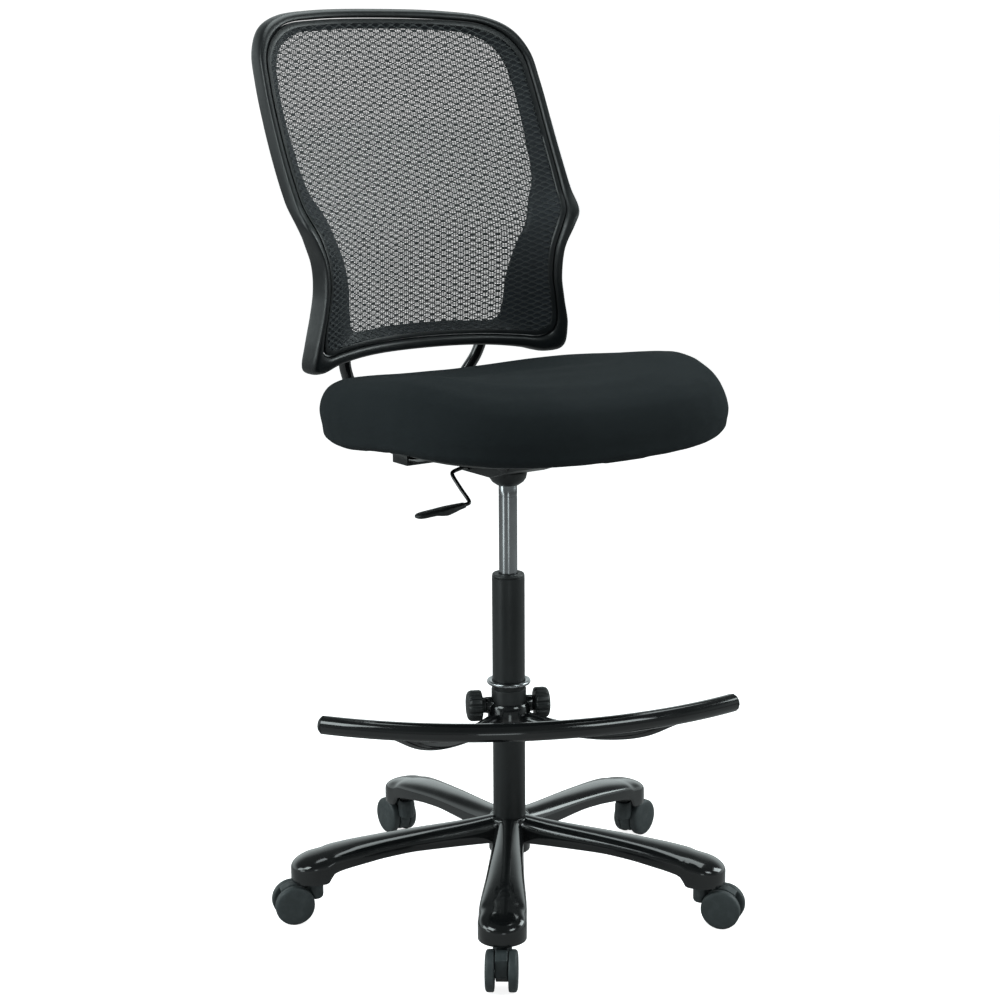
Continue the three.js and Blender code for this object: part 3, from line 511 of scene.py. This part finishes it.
def arm_skin():
    rings = []
    for at in np.concatenate([np.linspace(22, 240, 28), np.linspace(246, STEM_CIRCLE, 16)]):
        half = arm_half_section(at)
        right = [(u, -at, z) for u, z in half]
        left = [(-u, -at, z) for u, z in half[-2::-1]]
        rings.append(right + left)
    bar = skin(rings, around=False)
    half = arm_half_section(STEM_CIRCLE)
    skirt, crown = half[0][1], half[-1][1]
    fan = []
    for a in np.linspace(math.pi / 2, -math.pi / 2, 33):
        ring = []
        for u, z in half:
            beyond = u * math.cos(a)
            fall = CAP_FALL * beyond * (z - skirt) / (crown - skirt)
            ring.append((u * math.sin(a), -STEM_CIRCLE - beyond, z - fall))
        fan.append(ring)
    return joined(bar, skin(fan, around=False))


def arm_turn(k):
    return BASE_TURN + 360 / ARM_COUNT * k


def on_each_arm(shape):
    """A shape made for the arm that points along -y, once for each of the arms."""
    points, faces = shape
    return joined(*[(turned_about_z(points, arm_turn(k)), faces) for k in range(ARM_COUNT)])


def make_arms():
    arms = build("base_arms", on_each_arm(arm_skin()), GLOSS, "base", ("star_base",),
                 sharp=60)
    thick = arms.modifiers.new("wall", "SOLIDIFY")
    thick.thickness, thick.offset = ARM_WALL * MM, -1
    thick.use_even_offset = False
    edge = arms.modifiers.new("edge", "BEVEL")
    edge.width, edge.segments, edge.limit_method = 0.7 * MM, 2, "ANGLE"
    edge.angle_limit = math.radians(50)
    applied(arms)


def make_sockets():
    points, faces = lathe(SOCKET_PROFILE, 32)
    sockets = on_each_arm((points + np.array([0, -STEM_CIRCLE, 0]), faces))
    build("stem_sockets", sockets, SATIN, "base", ("star_base",))


def make_hub():
    build("base_hub", lathe(HUB_PROFILE, 72), GLOSS, "base", ("star_base",), sharp=50)


def make_welds():
    """A bead over each arm where it meets the hub."""
    half = []
    for u, z in [(-24, 104), (-22.5, 113), (-17, 124), (-9, 131)]:
        half.append((u, -math.sqrt(WELD_REACH**2 - u * u), z))
    line = half + [(-x, y, z) for x, y, z in half[::-1]]
    bead = tube(smooth_line(line, 6), WELD_RADIUS, 10)
    build("base_welds", on_each_arm(bead), GLOSS, "base", ("star_base",))


# ---------------------------------------------------------------- casters

WHEEL_PROFILE = [
    [4.4, 10.6], [7, 10], [26.5, 10], [28.6, 10.4], [29.7, 11.4], [30, 12.8], [30, 18.6], [29.7, 20],
    [28.6, 21.6], [26.4, 22.7], [23, 23.3], [18, 23.6], [9, 23.9], [0, 24],
]


def make_casters():
    for k in range(1, ARM_COUNT + 1):
        turn = arm_turn(k - 1)
        for side, word in ((1, "left"), (-1, "right")):
            points, faces = lathe(WHEEL_PROFILE, 64)
            points = np.stack([points[:, 2], points[:, 0], points[:, 1]], axis=1)
            points[:, 0] *= side
            points += np.array([0, -STEM_CIRCLE - CASTER_TRAIL, WHEEL_RADIUS])
            build(f"wheel_{k}_{word}", (turned_about_z(points, turn), faces), TREAD, f"caster_{k}_{word}",
                  (f"caster_{k}_wheel_{word}",), sharp=40)
        softened(f"caster_{k}_hood", f"hood_{k}", TREAD, f"caster_{k}", 0.9, 8)


# ---------------------------------------------------------------- column and lift

TUBE_PROFILE = [
    [22.3, 80], [22.3, 515.4], [22.8, 516], [24.4, 516], [25, 515.3], [25, 84], [24, 76.4], [23.5, 76],
    [6.5, 76], [6, 76.5], [6, 79.5], [6.5, 80], [22.3, 80],
]
BUSH_PROFILE = [
    [14.4, 447], [21.9, 447], [21.9, 516.3], [24.6, 516.4], [24.9, 517], [24.4, 519.4], [23.4, 520.6],
    [17, 521], [15.2, 520.6], [14.4, 519.6], [14.4, 447],
]
CYLINDER_PROFILE = [
    [0, 640], [5.6, 640], [5.6, 262.4], [6, 262], [13, 262], [14, 263], [14, 640.9], [13.75, 641.3],
    [13.75, 642.7], [14, 643.1], [14, 652], [13.9, 652.3], [13, 683.5], [12.5, 684], [4.4, 684],
    [4.3, 683.8], [4.3, 670], [0, 670],
]


def make_column():
    build("column_skin", lathe(TUBE_PROFILE, 72), SATIN, "base", ("column_tube",), sharp=40)
    build("bush_skin", lathe(BUSH_PROFILE, 72), HARD, "base", ("guide_bush",), sharp=40)
    build("cylinder_skin", lathe(CYLINDER_PROFILE, 72), CHROME, "lift", ("gas_cylinder",),
          sharp=30)


# ---------------------------------------------------------------- footrest

REST_BEND, REST_REACH, REST_HEIGHT = 597, 280, 361
REST_HALF_ANGLE = 30
REST_KNOB_HEIGHT = 313
REST_BAR_RADIUS, REST_SUPPORT_RADIUS = 13.4, 11
# The clamp knob: radius, height and how much of a flute's depth it takes.
KNOB_PROFILE = [
    (0, 38.9, 0), (15, 38.9, 0), (20, 39.2, 0.5), (22.6, 40, 0.9), (23.7, 41.6, 1), (24, 43.6, 1),
    (24, 54.5, 1), (23.5, 57, 1), (22, 59.6, 0.75), (19.6, 61.3, 0.35), (16.6, 62.2, 0), (16, 61.7, 0),
    (15.2, 61.8, 0), (9, 63.1, 0), (0, 63.5, 0),
]
RING_PROFILE = [
    [25.4, 347], [31.6, 347], [32.8, 347.6], [33.5, 349], [33.5, 351], [32.8, 352.4], [31.6, 353],
    [26, 353], [25.4, 352.4], [25.4, 347],
]


def bar_point(degrees):
    a = math.radians(degrees)
    return (REST_BEND * math.sin(a), -REST_REACH + REST_BEND * (1 - math.cos(a)), REST_HEIGHT)


def knob_shape(out):
    """A fluted, domed clamp knob along +z, with its neck and stud."""
    lobes, facets, deepest = 12, 144, 2.3
    rings = []
    for a in np.linspace(0, 2 * math.pi, facets, endpoint=False):
        wave = 0.5 - 0.5 * math.cos(lobes * a)
        dip = deepest * max(0.0, (wave - 0.62) / 0.38) ** 0.8
        ring = []
        for r, z, share in KNOB_PROFILE:
            reach = r - dip * share
            ring.append((reach * math.cos(a), reach * math.sin(a), z + out))
        rings.append(ring)
    grip = skin(rings, around=False, along=True)
    neck = lathe([
        [0, 36.5], [11.4, 36.5], [12, 37], [12, 38.4 + out], [11, 39.4 + out], [0, 39.4 + out],
    ], 40)
    stud = lathe([[0, 27.6], [3.4, 27.6], [4, 28.2], [4, 39], [0, 39]], 24)
    return joined(grip, neck, stud)


def make_footrest():
    def turned(shape):
        points, faces = shape
        return turned_about_z(points, REST_TURN), faces

    bar = [bar_point(a) for a in np.linspace(-REST_HALF_ANGLE, REST_HALF_ANGLE, 72)]
    build("footrest_bar_skin", turned(tube(bar, REST_BAR_RADIUS, 32)), GLOSS, "footrest",
          ("footrest_bar",), sharp=50)
    for side, word in ((1, "left"), (-1, "right")):
        end_x, end_y, _ = bar_point(side * 19.5)
        path = smooth_line([
            (side * 24, -18, 294), (side * 62, -70, 295), (side * 120, -150, 309), (side * 165, -212, 332),
            (end_x, end_y, REST_HEIGHT - 3),
        ], 12)
        build(f"footrest_support_{word}_skin", turned(tube(path, REST_SUPPORT_RADIUS, 28)), GLOSS,
              "footrest", (f"footrest_support_{word}",), sharp=50)
        points, faces = knob_shape(0 if side > 0 else 3)
        points = np.stack([side * points[:, 2], points[:, 0], points[:, 1] + REST_KNOB_HEIGHT], axis=1)
        build(f"knob_{word}", turned((points, faces)), HARD, f"footrest_knob_{word}",
              (f"footrest_knob_{word}",), sharp=45)
        eased(f"footrest_cap_{word}", f"rest_cap_{word}", HARD, "footrest", 1.2, 40)
    eased("footrest_hub", "rest_hub", GLOSS, "footrest", 1.0, 40)
    eased("footrest_sleeve", "rest_sleeve", HARD, "footrest_sleeve", 0.3, 40)
    build("stop_ring", lathe(RING_PROFILE, 72), CHROME, "base", ("footrest_stop_ring",),
          sharp=50)


# ---------------------------------------------------------------- mechanism

# The paddle by distance from its rod: half width, top and underside.
PADDLE = [
    [-0.6, 4, 2.6, -2.6], [0.6, 5.6, 3.8, -3.8], [10, 7.5, 4.3, -5], [22, 9.5, 4.6, -7.4],
    [32, 11, 4.6, -8.8], [41, 11.7, 4.4, -7.6], [52, 11.2, 4.3, -5.2], [64, 10.8, 4.3, -4.6],
    [74, 10.2, 4.2, -4.5], [80, 8.6, 3.5, -3.8], [83.6, 5.6, 2.3, -2.6], [85, 2.4, 1, -1.2],
]
PADDLE_ROOT, PADDLE_SLOPE, PADDLE_ROUNDNESS = (-93, -21.3, 641.8), 4.5, 0.75
LEVER_RADIUS = 3


def make_paddle():
    root_x, root_y, root_z = PADDLE_ROOT
    slope = math.tan(math.radians(PADDLE_SLOPE))
    rings = []
    for at, half, top, under in smooth_line(PADDLE, 5):
        ring = []
        for a in np.linspace(0, 2 * math.pi, 28, endpoint=False):
            across = math.copysign(abs(math.cos(a)) ** PADDLE_ROUNDNESS, math.cos(a)) * half
            rise = abs(math.sin(a)) ** PADDLE_ROUNDNESS * (top if math.sin(a) > 0 else under)
            ring.append((root_x - at, root_y + across, root_z - at * slope + rise))
        rings.append(ring)
    build("paddle", skin(rings, caps=True), HARD, "lever", ("lever_paddle",), sharp=60)


def make_mechanism():
    eased("mechanism_housing", "mechanism_tray", SATIN, "lift", 0.9, 30)
    eased("seat_plate", "seat_plate_skin", SATIN, "seat", 0.7, 30)
    eased("back_bracket", "back_bracket_skin", SATIN, "seat", 0.9, 30)
    eased("seat_pan", "seat_pan_skin", HARD, "seat", 1.0, 25)
    bend_x, lever_y = -82.5, 29.5
    path = smooth_line([
        (0, 0, 692.6), (-16, 4, 692.2), (-34, 24, 688.5), (-44, lever_y, 687.6), (-62, lever_y, 686),
        (bend_x + 3, lever_y, 681.5), (bend_x, lever_y - 3, 679), (bend_x, 4, 661), (bend_x, -18, 645.5),
        (bend_x - 3, -21.3, 643.5), (-100, -21.3, 641.5),
    ], 8)
    rod = tube(path, LEVER_RADIUS, 16)
    build("lever_skin", rod, GLOSS, "lever", ("lever_rod",), sharp=50)
    make_paddle()


# ---------------------------------------------------------------- seat

CUSHION_VOXEL = 6
CUSHION_SHRINK = 3.0
CUSHION_PRESSURE = 4
CLOTH_FRAMES = 20
UNDERSIDE = -0.45  # faces that look down more steeply than this don't swell
CORNER_DROP = 12.0
DIMPLE = 0.5


class Surface:
    """A mesh's points, and the means over each point's neighbours that smooth whatever they carry."""

    def __init__(self, mesh):
        self.points = np.array([v.co for v in mesh.vertices])
        ends = np.array([e.vertices for e in mesh.edges])
        self.here = np.concatenate([ends[:, 0], ends[:, 1]])
        self.there = np.concatenate([ends[:, 1], ends[:, 0]])
        self.degree = np.maximum(np.bincount(self.here, minlength=len(self.points)), 1)

    def mean(self, values):
        columns = values.reshape(len(values), -1).T
        sums = [np.bincount(self.here, weights=c[self.there], minlength=len(values)) for c in columns]
        return (np.array(sums) / self.degree).T.reshape(values.shape)

    def rounded(self, times):
        """The points smoothed without the loss of volume that plain smoothing brings."""
        p = self.points
        for _ in range(times):
            p = p + 0.5 * (self.mean(p) - p)
            p = p - 0.51 * (self.mean(p) - p)
        return p


def set_points(mesh, points):
    mesh.vertices.foreach_set("co", points.astype(np.float32).ravel())
    mesh.update()


def front_corner(points, box):
    """How far each point lies towards the top of one of the cushion's two front corners, from 0 to 1."""
    low, high = (np.array(v) for v in box)
    share = (points - low) / (high - low)
    aside = np.clip((np.abs(share[:, 0] - 0.5) * 2 - 0.35) / 0.65, 0, 1)
    ahead = np.clip((0.45 - share[:, 1]) / 0.45, 0, 1)
    above = np.clip((share[:, 2] - 0.3) / 0.5, 0, 1)
    return np.prod([v * v * (3 - 2 * v) for v in (aside, ahead, above)], axis=0) ** 0.7


def cloth_swell(piece, surface, start, normals, free):
    """How far a cloth simulation with pressure swells each point, evened over its neighbours."""
    set_points(piece.data, start)
    held = piece.vertex_groups.new(name="held")
    held.add([int(i) for i in np.nonzero(free < 0.5)[0]], 1.0, "REPLACE")
    cloth = piece.modifiers.new("cloth", "CLOTH")
    cloth.settings.use_pressure = True
    cloth.settings.uniform_pressure_force = CUSHION_PRESSURE
    cloth.settings.vertex_group_mass = "held"
    cloth.settings.effector_weights.gravity = 0
    cloth.settings.quality = 5
    cloth.point_cache.frame_start, cloth.point_cache.frame_end = 1, CLOTH_FRAMES
    for number in range(1, CLOTH_FRAMES + 1):
        scene.frame_set(number)
    graph = bpy.context.evaluated_depsgraph_get()
    swollen = np.array([v.co for v in piece.evaluated_get(graph).data.vertices])
    piece.modifiers.remove(cloth)
    scene.frame_set(1)
    outward = np.clip(np.sum((swollen - start) * normals, axis=1), 0, 4 * CUSHION_SHRINK * MM)
    for _ in range(30):
        outward = surface.mean(outward)
    outward *= CUSHION_SHRINK * MM / max(outward[free > 0.9].mean(), 1e-6)
    return np.clip(outward, 0, 2 * CUSHION_SHRINK * MM) * free


def make_cushion():
    """Foam under knitted cloth: drawn in, swollen by a cloth simulation, and held fast below."""
    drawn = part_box("seat_cushion")
    piece = copied("seat_cushion", "cushion")
    voxel_remesh(piece, CUSHION_VOXEL)
    applied(piece)
    mesh = piece.data
    surface = Surface(mesh)
    rest = surface.rounded(60)
    set_points(mesh, rest)
    normals = np.array([v.normal for v in mesh.vertices])
    free = (normals[:, 2] > UNDERSIDE).astype(float)
    for _ in range(4):
        free = np.minimum(free, surface.mean(free))
    swell = CUSHION_SHRINK * MM * free
    start = rest - normals * swell[:, None]
    swell = cloth_swell(piece, surface, start, normals, free)
    final = start + normals * swell[:, None]
    for axis, (low, high) in enumerate(zip(*drawn)):
        got_low, got_high = final[:, axis].min(), final[:, axis].max()
        final[:, axis] = low + (final[:, axis] - got_low) * (high - low) / (got_high - got_low)
    final[:, 2] -= CORNER_DROP * MM * front_corner(final, drawn)
    for i, p in enumerate(final):
        dimple = noise.fractal(Vector(p) * 8, 1.0, 2.0, 2)
        final[i] = p + normals[i] * DIMPLE * MM * dimple * free[i]
    set_points(mesh, final)
    fine = piece.modifiers.new("fine", "SUBSURF")
    fine.levels = fine.render_levels = 1
    applied(piece)
    dress(piece, CLOTH)
    ride_as(piece, "seat", ("seat_cushion",))


# ---------------------------------------------------------------- back

# By height: how far back the back's middle stands, how far its sides come forward, and their depth.
BACK_PROFILE = [
    [815, 231], [940, 229], [1020, 227], [1060, 235], [1100, 250], [1180, 283], [1260, 313], [1380, 353],
]
BACK_WRAP = [[815, 70], [880, 92], [960, 104], [1040, 86], [1080, 64], [1150, 54], [1380, 42]]
SIDE_DEPTH = [[815, 48], [1000, 48], [1060, 38], [1380, 34]]
RAIL_DEPTH = 33
BACK_BAR_RADIUS = 9.5
BACK_MIDDLE = np.array([0, 1095.0])
FRONT_MESH_DEPTH, REAR_MESH_DEPTH = 3, 18
FLANGE_FRONT, FLANGE_FALL, FLANGE_THICK = 6, 9, 5
OUTLINE_STEPS = 8
# Half of the frame, from the bottom's middle to the top's: x and z of its outer, inner and rear edges.
BACK_OUTLINE = [
    [0, 837, 0, 856, 0, 877], [110, 835, 105, 854, 88, 875], [172, 828, 165, 850, 124, 874],
    [208, 820, 196, 848, 136, 879], [232, 826, 210, 856, 141, 889], [233, 862, 214, 872, 143, 902],
    [223, 910, 209, 912, 145, 924], [218, 945, 204, 945, 148, 950], [222, 988, 207, 986, 159, 988],
    [238, 1022, 221, 1026, 177, 1026], [251, 1048, 234, 1054, 190, 1060], [254, 1090, 239, 1091, 207, 1094],
    [255, 1180, 241, 1180, 216, 1180], [253, 1250, 239, 1249, 215, 1245], [247, 1296, 233, 1291, 208, 1282],
    [226, 1330, 214, 1318, 190, 1307], [188, 1349, 182, 1336, 160, 1322], [120, 1358, 118, 1344, 104, 1328],
    [0, 1361, 0, 1347, 0, 1331],
]


def back_front(x, z):
    return through(z, BACK_PROFILE) - through(z, BACK_WRAP) * (x / 250) ** 2


def back_depth(x, z):
    share = min(1.0, abs(x) / 215) ** 3
    return RAIL_DEPTH + (through(z, SIDE_DEPTH) - RAIL_DEPTH) * share


def on_back(x, z, depth):
    return np.array([x, back_front(x, z) + depth, z])


def outline_curve(column, steps):
    half = [(row[column], row[column + 1]) for row in BACK_OUTLINE]
    mirrored = [(-x, z) for x, z in half[-2:0:-1]]
    return smooth_line(half + mirrored, steps, closed=True)


def scaled(curve, share):
    return BACK_MIDDLE + (curve - BACK_MIDDLE) * share


def spans(edge, across, level):
    """The stretches of a line inside a closed outline, along which the coordinate across is held level."""
    along = 1 - across
    found = []
    for a, b in zip(edge, np.roll(edge, -1, axis=0)):
        if (a[across] - level) * (b[across] - level) < 0:
            share = (level - a[across]) / (b[across] - a[across])
            found.append(a[along] + (b[along] - a[along]) * share)
    found.sort()
    return [(low, high) for low, high in zip(found[::2], found[1::2]) if high - low > 12]


def knit(name, edge, depth, node):
    """A stretched net of wavy strands, each tied to the next where they meet, as one piece."""
    cell_wide, row_high, rings_a_cell = 19.6, 4.55, 8
    half_thick, half_wide = 0.42, 0.86
    low, high = edge[:, 1].min(), edge[:, 1].max()
    parts = []
    for row in range(1, int((high - low) / row_high)):
        level = low + row * row_high
        for left, right in spans(edge, 1, level):
            steps = max(4, int((right - left) / (cell_wide / rings_a_cell)))
            rings = []
            for x in np.linspace(left, right, steps):
                phase = x / cell_wide + 0.5 * row
                wave = math.cos(2 * math.pi * phase)
                wave = math.copysign(min(1.0, abs(wave) * 1.35), wave)
                z = level + wave * (row_high / 2 - half_wide * 0.8)
                point = on_back(x, z, depth)
                lift = half_thick * 0.5 * math.sin(2 * math.pi * phase)
                rings.append([
                    point + (0, lift - half_thick, 0), point + (0, lift, half_wide),
                    point + (0, lift + half_thick, 0), point + (0, lift, -half_wide),
                ])
            parts.append(skin(rings))
    return build(name, joined(*parts), THREAD, "seat", (node,), sharp=180)


def weave(name, edge, depth, node):
    """A fine net of flat ribbons laid both ways, each with a raised middle, as one piece."""
    parts = []
    for across, pitch, half_wide, stride in ((1, 1.9, 0.54, 12), (0, 4.0, 0.62, 9)):
        low, high = edge[:, across].min(), edge[:, across].max()
        for level in np.arange(low + pitch, high, pitch):
            for start, end in spans(edge, across, level):
                rings = []
                for at in np.linspace(start, end, max(3, int((end - start) / stride))):
                    sway = 0.25 * math.sin(at * 0.31 + level * 1.7)
                    ring = []
                    for aside, rise in ((-half_wide, 0), (0, 0.35), (half_wide, 0)):
                        x, z = (at, level + aside + sway) if across else (level + aside + sway, at)
                        ring.append(on_back(x, z, depth + rise))
                    rings.append(ring)
                parts.append(skin(rings, around=False))
    return build(name, joined(*parts), THREAD, "seat", (node,), sharp=180)


def hem(name, inside, outside, depth, thick):
    """The strip along a net's edge that is tucked into the frame."""
    rings = []
    for (x0, z0), (x1, z1) in zip(inside, outside):
        rings.append([
            on_back(x0, z0, depth - 0.3), on_back((x0 + x1) / 2, (z0 + z1) / 2, depth - 1.1),
            on_back(x1, z1, depth - 0.6), on_back(x1, z1, depth + thick),
            on_back(x0, z0, depth + thick * 0.7),
        ])
    return build(name, skin(rings, along=True), FRAME, "seat", sharp=60)


def make_frame(outer, inner):
    """The moulded frame: one rounded bead all the way round."""
    section, squareness = 28, 0.62
    rings = []
    for (xo, zo), (xi, zi) in zip(outer, inner):
        ring = []
        for k in range(section):
            a = (k + 0.5) / section * 2 * math.pi
            across = math.copysign(abs(math.cos(a)) ** squareness, math.cos(a))
            deep = math.copysign(abs(math.sin(a)) ** squareness, math.sin(a))
            share = (1 + across) / 2
            x, z = xo + (xi - xo) * share, zo + (zi - zo) * share
            ring.append(on_back(x, z, back_depth(x, z) / 2 * (1 + deep)))
        rings.append(ring)
    build("frame_bead", skin(rings, along=True), FRAME, "seat", ("back_frame",),
          sharp=80)


def make_rear_frame(inner, rear):
    """The flange from the frame's inner edge back to the rear opening, with a lip round it."""
    mouth = FLANGE_FRONT + FLANGE_FALL
    rings = []
    for (xi, zi), (xr, zr) in zip(inner, rear):
        away = np.array([xr - xi, zr - zi])
        reach = np.linalg.norm(away)
        sx, sz = np.array([xi, zi]) + away / reach * 0.8
        line = [
            (sx + (xr - sx) * t, sz + (zr - sz) * t, FLANGE_FRONT + FLANGE_FALL * t**1.4)
            for t in np.linspace(0, 1, 8)
        ]
        front = [on_back(x, z, d) for x, z, d in line]
        lip = [on_back(xr, zr, mouth + 1.2), on_back(xr, zr, mouth + 3.8)]
        back = [on_back(x, z, d + FLANGE_THICK) for x, z, d in line[::-1]]
        rings.append(front + lip + back)
    build("rear_flange", skin(rings, along=True), FLANGE, "seat", ("back_rear_frame",),
          sharp=50)


def make_nets(inner, rear):
    """The front and the rear net, stretched in their frames, and the front one's hem."""
    front_edge, rear_edge = scaled(inner, 0.985), scaled(rear, 1.012)
    front = knit("back_knit_front", front_edge, FRONT_MESH_DEPTH + 0.8, "back_mesh_front")
    back = weave("back_knit_rear", rear_edge, REAR_MESH_DEPTH + 0.4, "back_mesh_rear")
    front_hem = hem("hem_front", scaled(inner, 0.968), scaled(inner, 0.996), FRONT_MESH_DEPTH + 0.5, 2.4)


def make_back_bars():
    for side, word in ((1, "left"), (-1, "right")):
        path = smooth_line([
            (side * 129, 255.4, 856), (side * 128.5, 255.8, 842), (side * 123, 264, 815),
            (side * 100, 278, 770), (side * 77, 274, 716), (side * 62, 240, 689), (side * 55, 186, 683),
            (side * 52, 138, 693), (side * 51, 76, 709),
        ], 10)
        build(f"back_bar_{word}_skin", tube(path, BACK_BAR_RADIUS, 24), GLOSS, "seat",
              (f"back_bar_{word}",), sharp=50)


def make_back():
    outer, inner, rear = (outline_curve(column, OUTLINE_STEPS) for column in (0, 2, 4))
    make_frame(outer, inner)
    make_rear_frame(inner, rear)
    make_nets(inner, rear)
    make_back_bars()


make_arms()
make_sockets()
make_hub()
make_welds()
make_casters()
make_column()
make_footrest()
make_mechanism()
make_cushion()
make_back()

# What still shows of the CAD is small steel inside, such as the axles, the stems and the piston rod.
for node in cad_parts.values():
    if not node.hide_render:
        node.data.materials.clear()
        node.data.materials.append(BRIGHT)


# ---------------------------------------------------------------- light and floor

STAGE_WHITE = (1.0, 1.0, 1.0, 1)
STAGE_GLOW = 1.1
COOL_WHITE = (0.90, 1.0, 1.0, 1)
BACKDROP_SHARE = 0.9
ROOM_SHARE = 0.10


def make_world():
    """White to the camera; for the rest, a low white backdrop behind the chair in a dim room."""
    world = bpy.data.worlds.new("studio")
    world.use_nodes = True
    tree = world.node_tree
    room = tree.nodes["Background"]
    place = tree.nodes.new("ShaderNodeTexCoord").outputs["Generated"]

    def ranged(value, from_low, from_high, to_low, to_high):
        made = tree.nodes.new("ShaderNodeMapRange")
        made.interpolation_type = "SMOOTHSTEP"
        tree.links.new(value, made.inputs["Value"])
        for key, number in zip(RANGE_INPUTS, (from_low, from_high, to_low, to_high)):
            made.inputs[key].default_value = number
        return made.outputs[0]

    def product(a, b):
        made = tree.nodes.new("ShaderNodeMath")
        made.operation = "MULTIPLY"
        tree.links.new(a, made.inputs[0])
        tree.links.new(b, made.inputs[1])
        return made.outputs[0]

    split = tree.nodes.new("ShaderNodeSeparateXYZ")
    tree.links.new(place, split.inputs[0])
    low = ranged(split.outputs["Z"], 0.2, 0.62, 1, 0)
    behind = tree.nodes.new("ShaderNodeVectorMath")
    behind.operation = "DOT_PRODUCT"
    turn = math.radians(CAMERA_AZIMUTH)
    behind.inputs[1].default_value = (math.sin(turn), math.cos(turn), 0)
    tree.links.new(place, behind.inputs[0])
    facing = ranged(behind.outputs["Value"], -0.5, 0.6, 0.25, 1)
    glow = ranged(product(low, facing), 0, 1, ROOM_SHARE, BACKDROP_SHARE)
    room.inputs[0].default_value = COOL_WHITE
    tree.links.new(glow, room.inputs[1])
    white = tree.nodes.new("ShaderNodeBackground")
    white.inputs[0].default_value = STAGE_WHITE
    white.inputs[1].default_value = STAGE_GLOW
    path = tree.nodes.new("ShaderNodeLightPath")
    mix = tree.nodes.new("ShaderNodeMixShader")
    tree.links.new(path.outputs["Is Camera Ray"], mix.inputs[0])
    tree.links.new(room.outputs[0], mix.inputs[1])
    tree.links.new(white.outputs[0], mix.inputs[2])
    tree.links.new(mix.outputs[0], tree.nodes["World Output"].inputs[0])
    scene.world = world


def make_floor():
    """Pale paper that glows more to the camera than to the chair, so that its far edge doesn't show."""
    n = Nodes("floor")
    seen = n.add("ShaderNodeLightPath").outputs["Is Camera Ray"]
    pale = n.mix(n.spread(n.noise(1.5, 2), 0, 1), (0.84, 0.84, 0.84), (0.86, 0.86, 0.86))
    tone = n.mix(seen, (0.3, 0.3, 0.3), pale)
    paper = n.finish(Base_Color=tone, Roughness=0.95, Normal=n.bump(n.noise(60, 2), 0.0002, 0.1),
                     Emission_Color=(1.0, 1.0, 1.0), Emission_Strength=n.spread(seen, 0.08, 0.86, 0, 1),
                     Specular_IOR_Level=0.1)
    mesh = bpy.data.meshes.new("floor")
    half = 30
    corners = [(-half, -half, 0), (half, -half, 0), (half, half, 0), (-half, half, 0)]
    mesh.from_pydata(corners, [], [(0, 1, 2, 3)])
    mesh.materials.append(paper)
    floor = bpy.data.objects.new("floor", mesh)
    floor.location.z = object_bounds()[0].z - 0.0002
    scene.collection.objects.link(floor)


def make_lamps():
    """Soft boxes placed from the camera's side: x to its right, y away from it."""
    spin = Matrix.Rotation(-math.radians(CAMERA_AZIMUTH), 3, "Z")
    lamps = [
        ("key", (-2.2, -1.6, 2.6), (0, 0, 0.8), 1.5, 40),
        ("key_right", (2.0, -2.0, 2.3), (0, 0, 0.6), 1.1, 20),
        ("rim", (2.4, 0.6, 1.6), (0, 0, 0.5), 1.2, 26),
        ("top", (0.2, 0.9, 3.0), (0, 0, 0.7), 2.0, 32),
        ("low", (-1.9, -0.5, 0.9), (0, 0, 0.2), 0.8, 8),
        ("strip_left", (-1.7, -1.1, 0.3), (0, 0, 0.5), 0.6, 2.2),
        ("strip_front", (0.25, -2.4, 0.2), (0, 0, 0.5), 0.5, 1.6),
    ]
    for name, place, target, size, power in lamps:
        data = bpy.data.lights.new(name, "AREA")
        data.shape, data.size, data.energy = "SQUARE", size, power
        data.color = COOL_WHITE[:3]
        lamp = bpy.data.objects.new(name, data)
        lamp.location = spin @ Vector(place)
        lamp.rotation_mode = "QUATERNION"
        lamp.rotation_quaternion = (spin @ (Vector(target) - Vector(place))).to_track_quat("-Z", "Y")
        scene.collection.objects.link(lamp)


make_world()
make_floor()
make_lamps()
scene.view_settings.view_transform = "Standard"
